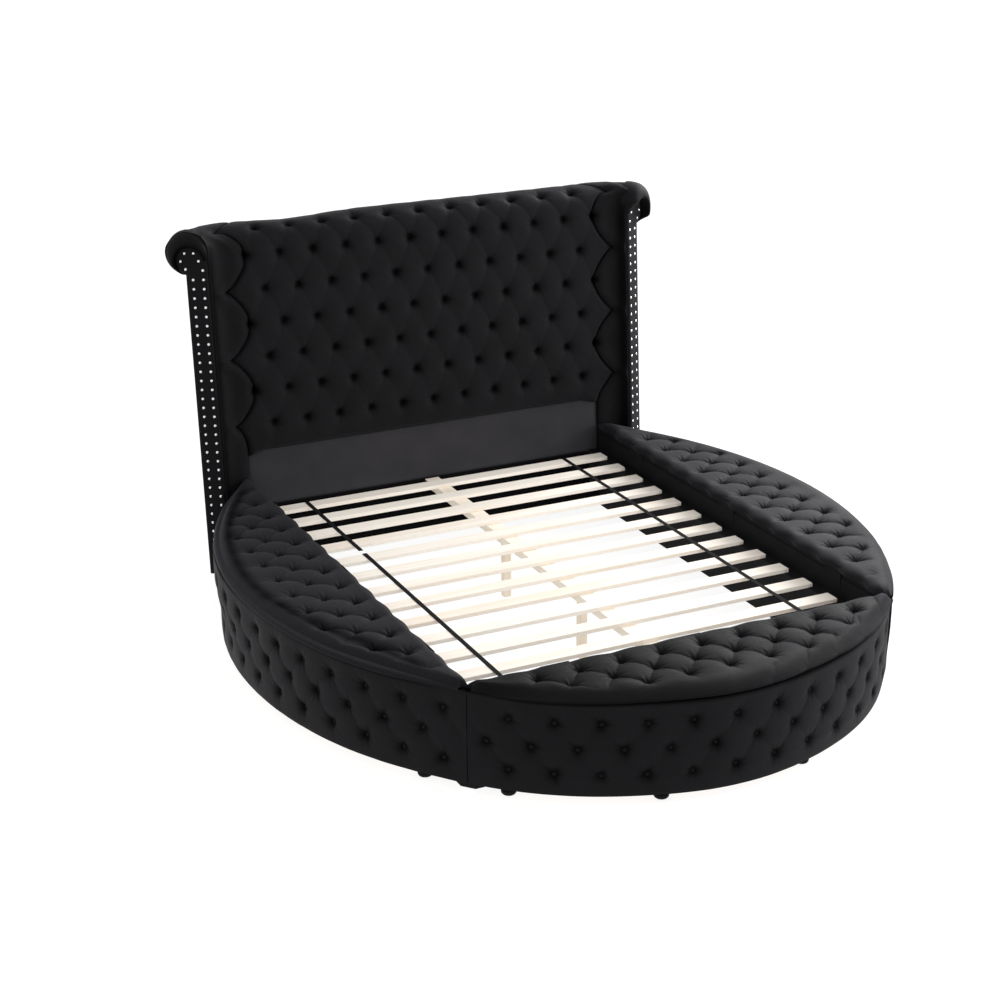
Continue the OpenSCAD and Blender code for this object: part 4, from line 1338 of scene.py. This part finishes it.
def cover(bench):
    """Makes a bench's cover and its buttons, and returns how many buttons it has."""
    t = np.linspace(-1, 1, steps(2 * bench.arc * bench.radius))[:, None]
    top = bench.seam(t) - 1 * MM
    z = rim_z + (top - rim_z) * np.linspace(0, 1, steps(box_z - rim_z))[None, :]
    lining_out = lining_gap + (board_over + board_clear) * (z > box_z - 1 * MM)
    out = np.maximum(cover_out(bench, t, z), lining_out + least_cloth)
    outer, inner = cover_skin(bench, t, z, out), cover_skin(bench, t, z, lining_out + 0 * t)
    made = slab(bench.name + "_cover", outer, inner, cover_velvet, "base", "black_velvet",
                pit=cover_shade(bench, t, z))
    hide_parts(bench.name + "_tufted_cover")
    edge = bench.arc * bench.radius
    spots = np.array([p for p in cover_tufting(bench).places(-edge, edge) if cover_kept(bench, p[0])])
    z = spots[:, 1] + cover_first
    first, last = cover_angles(bench, bench.radius, z)
    t = (2 * spots[:, 0] / bench.radius - first - last) / (last - first)
    keep = np.abs(t) < 0.97
    t, z = t[keep], z[keep]
    out = cover_out(bench, t, z)
    seat, ahead = cover_skin(bench, t, z, out), cover_skin(bench, t, z, out + 0.01)
    buttons(bench.name + "_cover_buttons", seat, ahead - seat, "base")
    return len(t)


print("cover buttons:", [cover(b) for b in benches])

# %% [markdown]
# A lid cushion is a crescent with a flat board under it. Its outline is the
# well's straight edge and the bench's arc, let out so that the cloth hangs over
# the cover. The ends run along the corner seams. Above the hinge pins they are
# drawn back by 45 degrees, so that two lids can open beside each other.

# %% Outline of a lid
lid_z = box_z + 0.3 * MM
lid_top = lid_z + 18 * MM
hinge_z = box_z + 37 * MM
tip_over = 27 * MM
lid_inset = 6 * MM
lid_least = 7.5 * MM
lid_corner_in = 20 * MM
cushion_h = 35 * MM


def lid_edge(bench, x, over):
    """The outer edge's distance from the well at x: the arc, let out by over."""
    return np.sqrt(np.maximum((bench.radius + over) ** 2 - x ** 2, 0)) - bench.centre


def lid_end(bench, t, w, z):
    """How far a lid reaches along the bench: to the corner seam, drawn back above the hinge pins."""
    seam = bench.half + w * math.tan(bench.arc) - seam_gap
    reach = np.minimum(seam, bench.half - np.maximum(-tip_over, z - hinge_z) - seam_gap)
    head = bench.half + head_clear - 5 * seam_gap + (lid_z - slat_top) * math.tan(lean)
    return np.where((t > 0) | (not bench.side), reach, head)


def lid_outer(bench, t):
    """How far the lid hangs over the arc at t, and its outer edge's distance from the well."""
    over = np.maximum(lid_least, bench.lid_over - bench.drawn(t) * lid_corner_in / corner_in)
    x = t * lid_end(bench, t, lid_inset, lid_top + cushion_h)
    return over, np.maximum(lid_edge(bench, x, over), lid_inset + 2 * seam_gap)


print("lids are", cushion_h, "m thick over their boards")

# %% [markdown]
# The lid's top climbs the well's edge, rolls over a soft shoulder, crosses the buttoned field and rolls
# down again over the outer edge. Two details are worn in by use. The left lid has a shallow groove inside
# its outer edge, with painted shade along it. The foot lid's border folds into pleats on its right half,
# one from each outer button.

# %% Bands and pleats
lid_pitch = 147 * MM
lid_row = 86 * MM
lid_first = 77 * MM
lid_phase = -9 * MM
lid_tufts = Tufting(lid_pitch, lid_row, 3, lid_phase, 0.12, 0.06)
band_in = 60 * MM
band_closes = 70 * MM
pleat_lean = 0.9
pleat_bend = 3.0


def pleat(bench, x, outer):
    """Pleats over the foot lid's border: 1 in a pleat's valley, 0 on the swells between.

    A valley is 1 less the sine of the length along the edge, bent back as it goes in from it.
    """
    if bench.side:
        return 0 * (x + outer)
    bend = x + pleat_lean * outer - pleat_bend * outer ** 2
    waves = np.sin(math.pi * (bend - lid_phase - lid_pitch / 2) / lid_pitch)
    valley = 1 - np.abs(waves) ** 0.45
    return valley * ease((0.15 - x) / 0.3) * (1 - ease((outer - 0.05) / 0.04))


def groove_and_shade_band(bench, x, outer, width):
    """A bell along a line inside the outer edge, further in near the foot, gone at the tips: it gives the
    groove's depth and the painted shade along it.
    """
    if not bench.shaded_groove:
        return 0 * (outer + width)
    middle = np.minimum(band_in * (1 + 0.8 * ease(x / 0.7)), 0.42 * width)
    return bell(outer - middle, 0.36 * middle) * ease((width - band_closes) / (80 * MM))


print("lid rows are", lid_row, "m apart")

# %% [markdown]
# The height over the board adds these up. The body is a crown between two
# shoulders. The folds, creases and pits of the buttoning come off it, but only
# on the field: a mask fades them out towards the plain border, the well's edge
# and the ends.

# %% Top of a lid
band_h = 6 * MM
ledge_h = 9 * MM
ledge_round = 10 * MM
shoulder_in = 30 * MM
shoulder_end = 24 * MM
slow_power = 1.75
lid_fold = 13 * MM
lid_fan = 2.6 * MM
lid_dip = 12 * MM
lid_dip_r = 22 * MM
lid_border = 62 * MM
groove_deep = 5 * MM
pleat_deep = 9 * MM
lid_thinnest = 1.5 * MM


def field_mask(bench, t, inner, outer, ends):
    """1 on the buttoned field, 0 on the border, from the distances to the two edges and the ends."""
    near_end = ease((ends - 0.03) / 0.06)
    head_end = ease((ends - 0.11) / 0.05) if bench.side else 1
    tail = np.where(t > 0, near_end, head_end * near_end)
    return ease((outer - 0.03) / lid_border) * ease((inner + 0.012) / 0.05) * tail


def shoulders(bench, inner, outer, ends, width):
    """Rise over the well's shoulder, the outer one and the ends, and the height of the ledge outside.

    The right lid's outer shoulder is a quarter round. The others start slower: 1 less the root
    of 1 less the sine of the climb to a power.
    """
    edge_in = np.minimum(shoulder_in, width * 0.4)
    edge_out = np.minimum(bench.shoulder, width * 0.4)
    ledge = np.minimum(bench.ledge, width * 0.1)
    ledge_rise = ledge_h * (bench.ledge > 0) * drawn_in(
        outer / ledge_round, inner / edge_in, ends / shoulder_end, radius=1)
    climb = np.clip((outer - ledge) / edge_out, 0, 1)
    if bench.slow_rise:
        climb = 1 - np.sqrt(1 - np.sin(math.pi / 2 * climb) ** slow_power)
    return drawn_in(inner / edge_in, climb, ends / shoulder_end, radius=1), ledge_rise


def lid_top_height(bench, t, v, w, width, x):
    """Height of the lid's top above its board: body less folds, pits, pleats and the groove."""
    inner, outer = v * width, (1 - v) * width
    ends = (1 - np.abs(t)) * bench.half + 0 * v
    rise, ledge_rise = shoulders(bench, inner, outer, ends, width)
    full = 0.6 + 0.4 * np.minimum(1, width / 0.045)
    body = band_h + (cushion_h - band_h) * rise * full + ledge_rise * (1 - rise)
    puff, along, across = lid_tufts.measure(x, w - lid_first)
    folds = lid_fold * (1 - puff) * gathered(along, across, 0.6)
    swell = 1 + 0.2 * drift(x, w, 0.22, 31)
    pull = lid_dip * dip(along, across, lid_dip_r)
    pull = pull * ease((outer - 0.04) / 0.03) * ease((inner - 0.02) / 0.02)
    creases = fan(x, w, along, across, lid_fan)
    height = body - field_mask(bench, t, inner, outer, ends) * (folds * swell + pull - creases)
    height = height + 0.7 * MM * drift(x, w, 0.06, 32) * rise
    worn = pleat_deep * pleat(bench, x, outer) + groove_deep * groove_and_shade_band(bench, x, outer, width)
    return np.maximum(height - worn * rise, lid_thinnest)


print("lid padding ready")

# %% [markdown]
# A lid is a tube of rings along the bench. Each ring crosses the top, turns
# down over the outer edge to the lip, turns in under it, and runs back under
# the board to the well. Over the well's edge the cloth swells out in scallops,
# one between each pair of buttons.

# %% Rings of a lid
edge_swell = 16 * MM
swell_reach = 15 * MM
lid_lip_t = 2 * MM
lid_lip_in = 11 * MM
lip_gap = 1.2 * MM
lip_bulge = 2 * MM
notch_deep = 5 * MM
notch_reach = 40 * MM
lid_shade_r = 11 * MM
ring_top, ring_turn, ring_under = 112, 9, 6
button_in = 85 * MM
button_end = 80 * MM
button_head = 170 * MM


def lid_kept(bench, x, from_edge):
    """Whether a button at x, that far inside the outer edge, is on the buttoned field."""
    kept = (from_edge > button_in) & (bench.half - np.abs(x) > button_end)
    return kept & ((bench.half + x > button_head) | (not bench.side))


def lid_shade(bench, x, w, v, width):
    """Painted shade on a lid's top: at the buttons and along the groove inside the outer edge."""
    _, along, across = lid_tufts.measure(x, w - lid_first)
    outer = (1 - v) * width
    kept = lid_kept(bench, x - along, outer + across)
    band = groove_and_shade_band(bench, x, outer, width) * (0.85 + 0.2 * drift(x, w, 0.05, 41))
    return np.maximum(0.9 * kept * pit_shade(x, w, along, across, lid_shade_r), 0.9 * band)


def under_edge(bench, x):
    """The underside's outer edge at x: just past the board's arc, and clear of the well's edge."""
    return np.maximum(lid_inset + seam_gap, lid_edge(bench, x, board_over + 0.5 * MM))


def lid_rings(bench):
    """The rings' x, w and z, and their painted shade: top, turned edge, inner lip, underside.

    Across the top the points crowd to both edges: a share q becomes 0.55 q and 0.45 of a half
    cosine wave. The turned edge is a quarter of an ellipse.
    """
    t = np.linspace(-1, 1, steps(2 * bench.half))[:, None]
    q = np.linspace(0, 1, ring_top)[None, :]
    v = 0.55 * q + 0.45 * (1 - np.cos(math.pi * q)) / 2
    over, w1 = lid_outer(bench, t)
    width = w1 - lid_inset
    w = lid_inset + v * width
    rough_rise = drawn_in(v * width / shoulder_in, (1 - v) * width / bench.shoulder, radius=1)
    x = t * lid_end(bench, t, w, lid_top + band_h + (cushion_h - band_h) * rough_rise)
    z = lid_top + lid_top_height(bench, t, v, w, width, x)
    scallop = np.sin(math.pi * (x - lid_phase) / lid_pitch) ** 2
    swell = edge_swell + bench.fuller * ease((1 + t) * bench.half / 0.3)
    w = w - swell * (0.45 + 0.55 * scallop) * np.exp(-v * width / swell_reach)
    notch = notch_deep * pleat(bench, x[:, -1:], 0)
    w = w - notch * ease(1 - (1 - v) * width / notch_reach)
    w1 = w1 - notch

    lip_z = bench.seam(t) + lip_gap
    lip_in = np.clip(over - board_over - seam_gap - lid_lip_t, 0, lid_lip_in)
    turn = np.linspace(0, math.pi / 2, ring_turn)[None, 1:]
    side_z = z[:, -1:] - (z[:, -1:] - lip_z) * np.sin(turn) + 0 * t
    side_w = w1 - lip_in * (1 - np.cos(turn)) ** 0.8 + lip_bulge * np.sin(2 * turn)
    side_x = t * lid_end(bench, t, side_w, side_z)

    low_x = t * lid_end(bench, t, w1 - lip_in, lip_z)
    in_x = t * lid_end(bench, t, under_edge(bench, low_x), lip_z)
    in_w = under_edge(bench, in_x)

    back = np.linspace(1, 0, ring_under)[None, :]
    under_w = lid_inset + (in_w - lid_inset) * back
    under_x = back * in_x + (1 - back) * x[:, :1]
    under_z = lid_top + 0.2 * MM

    # Painted shade: the turned edge darkens towards the lip, and the inner lip and the underside are wholly
    # in painted shade.
    shade = ease((np.linspace(0, 1, side_z.shape[1]) - 0.2) / 0.8)[None, :] + 0 * side_z
    pit = [lid_shade(bench, x, w, v, width), shade, 1 + 0 * in_x, 1 + 0 * under_x]
    rings = [(x, side_x, in_x, under_x), (w, side_w, in_w, under_w),
             (z, side_z, lip_z + 0 * t, under_z + 0 * under_x), pit]
    return [np.concatenate(part, 1) for part in rings]


print("a lid's ring has", ring_top + ring_turn + ring_under, "points")

# %% [markdown]
# The lids ride on the hinged bodies, so that they open with their boards. Each one replaces the plain
# cushion of the frame. The foot lid has a darker copy of the velvet, which is painted shade, and it is
# painted lighter towards its right end, where the lamps stand.


# %% Lid cushions
def lid(bench):
    """Makes a lid's padding and its buttons, and returns how many buttons it has."""
    x, w, z, pit = lid_rings(bench)
    body = "lid_" + bench.name
    made = tube(bench.name + "_lid_padding", bench.point(x, w, z), bench.velvet, body,
                "black_velvet", pit=pit)
    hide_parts(bench.name + "_lid_cushion")
    spots = np.array(lid_tufts.places(-bench.half, bench.half))
    x, w = spots[:, 0], spots[:, 1] + lid_first
    t = x / bench.half
    w1 = lid_outer(bench, t)[1]
    keep = lid_kept(bench, x, w1 - w)
    x, w, t, width = x[keep], w[keep], t[keep], w1[keep] - lid_inset
    z = lid_top + lid_top_height(bench, t, (w - lid_inset) / width, w, width, x)
    up = np.tile((0.0, 0.0, 1.0), (len(x), 1))
    buttons(bench.name + "_lid_buttons", bench.point(x, w, z), up, body)
    return len(x)


print("lid buttons:", [lid(b) for b in benches])

# %% [markdown]
# Every piece that the frame already holds in its right shape only needs its
# finish. The record's slot names say which. Pine needs one more look, because
# its grain has to run along each board.

# %% Dress the frame's own pieces
slot_finish = {
    "black_velvet": black_velvet, "panel_velvet": panel_velvet, "plywood": plywood,
    "black_board": lining, "steel": zinc, "silver": nickel, "black_steel": powder,
    "webbing": webbing, "black_plastic": plastic, "pine": pine_across,
}
grain_along = {"middle_beam": pine_along, "beam_legs": pine_up, "tip_blocks": pine_up}
slot_of = {row["node"]: row["material_slot"] for row in frame["record"]["subparts"]}
for name, obj in frame["nodes"].items():
    obj.data.materials.clear()
    obj.data.materials.append(grain_along.get(name, slot_finish[slot_of[name]]))
print("nodes dressed:", len(frame["nodes"]))
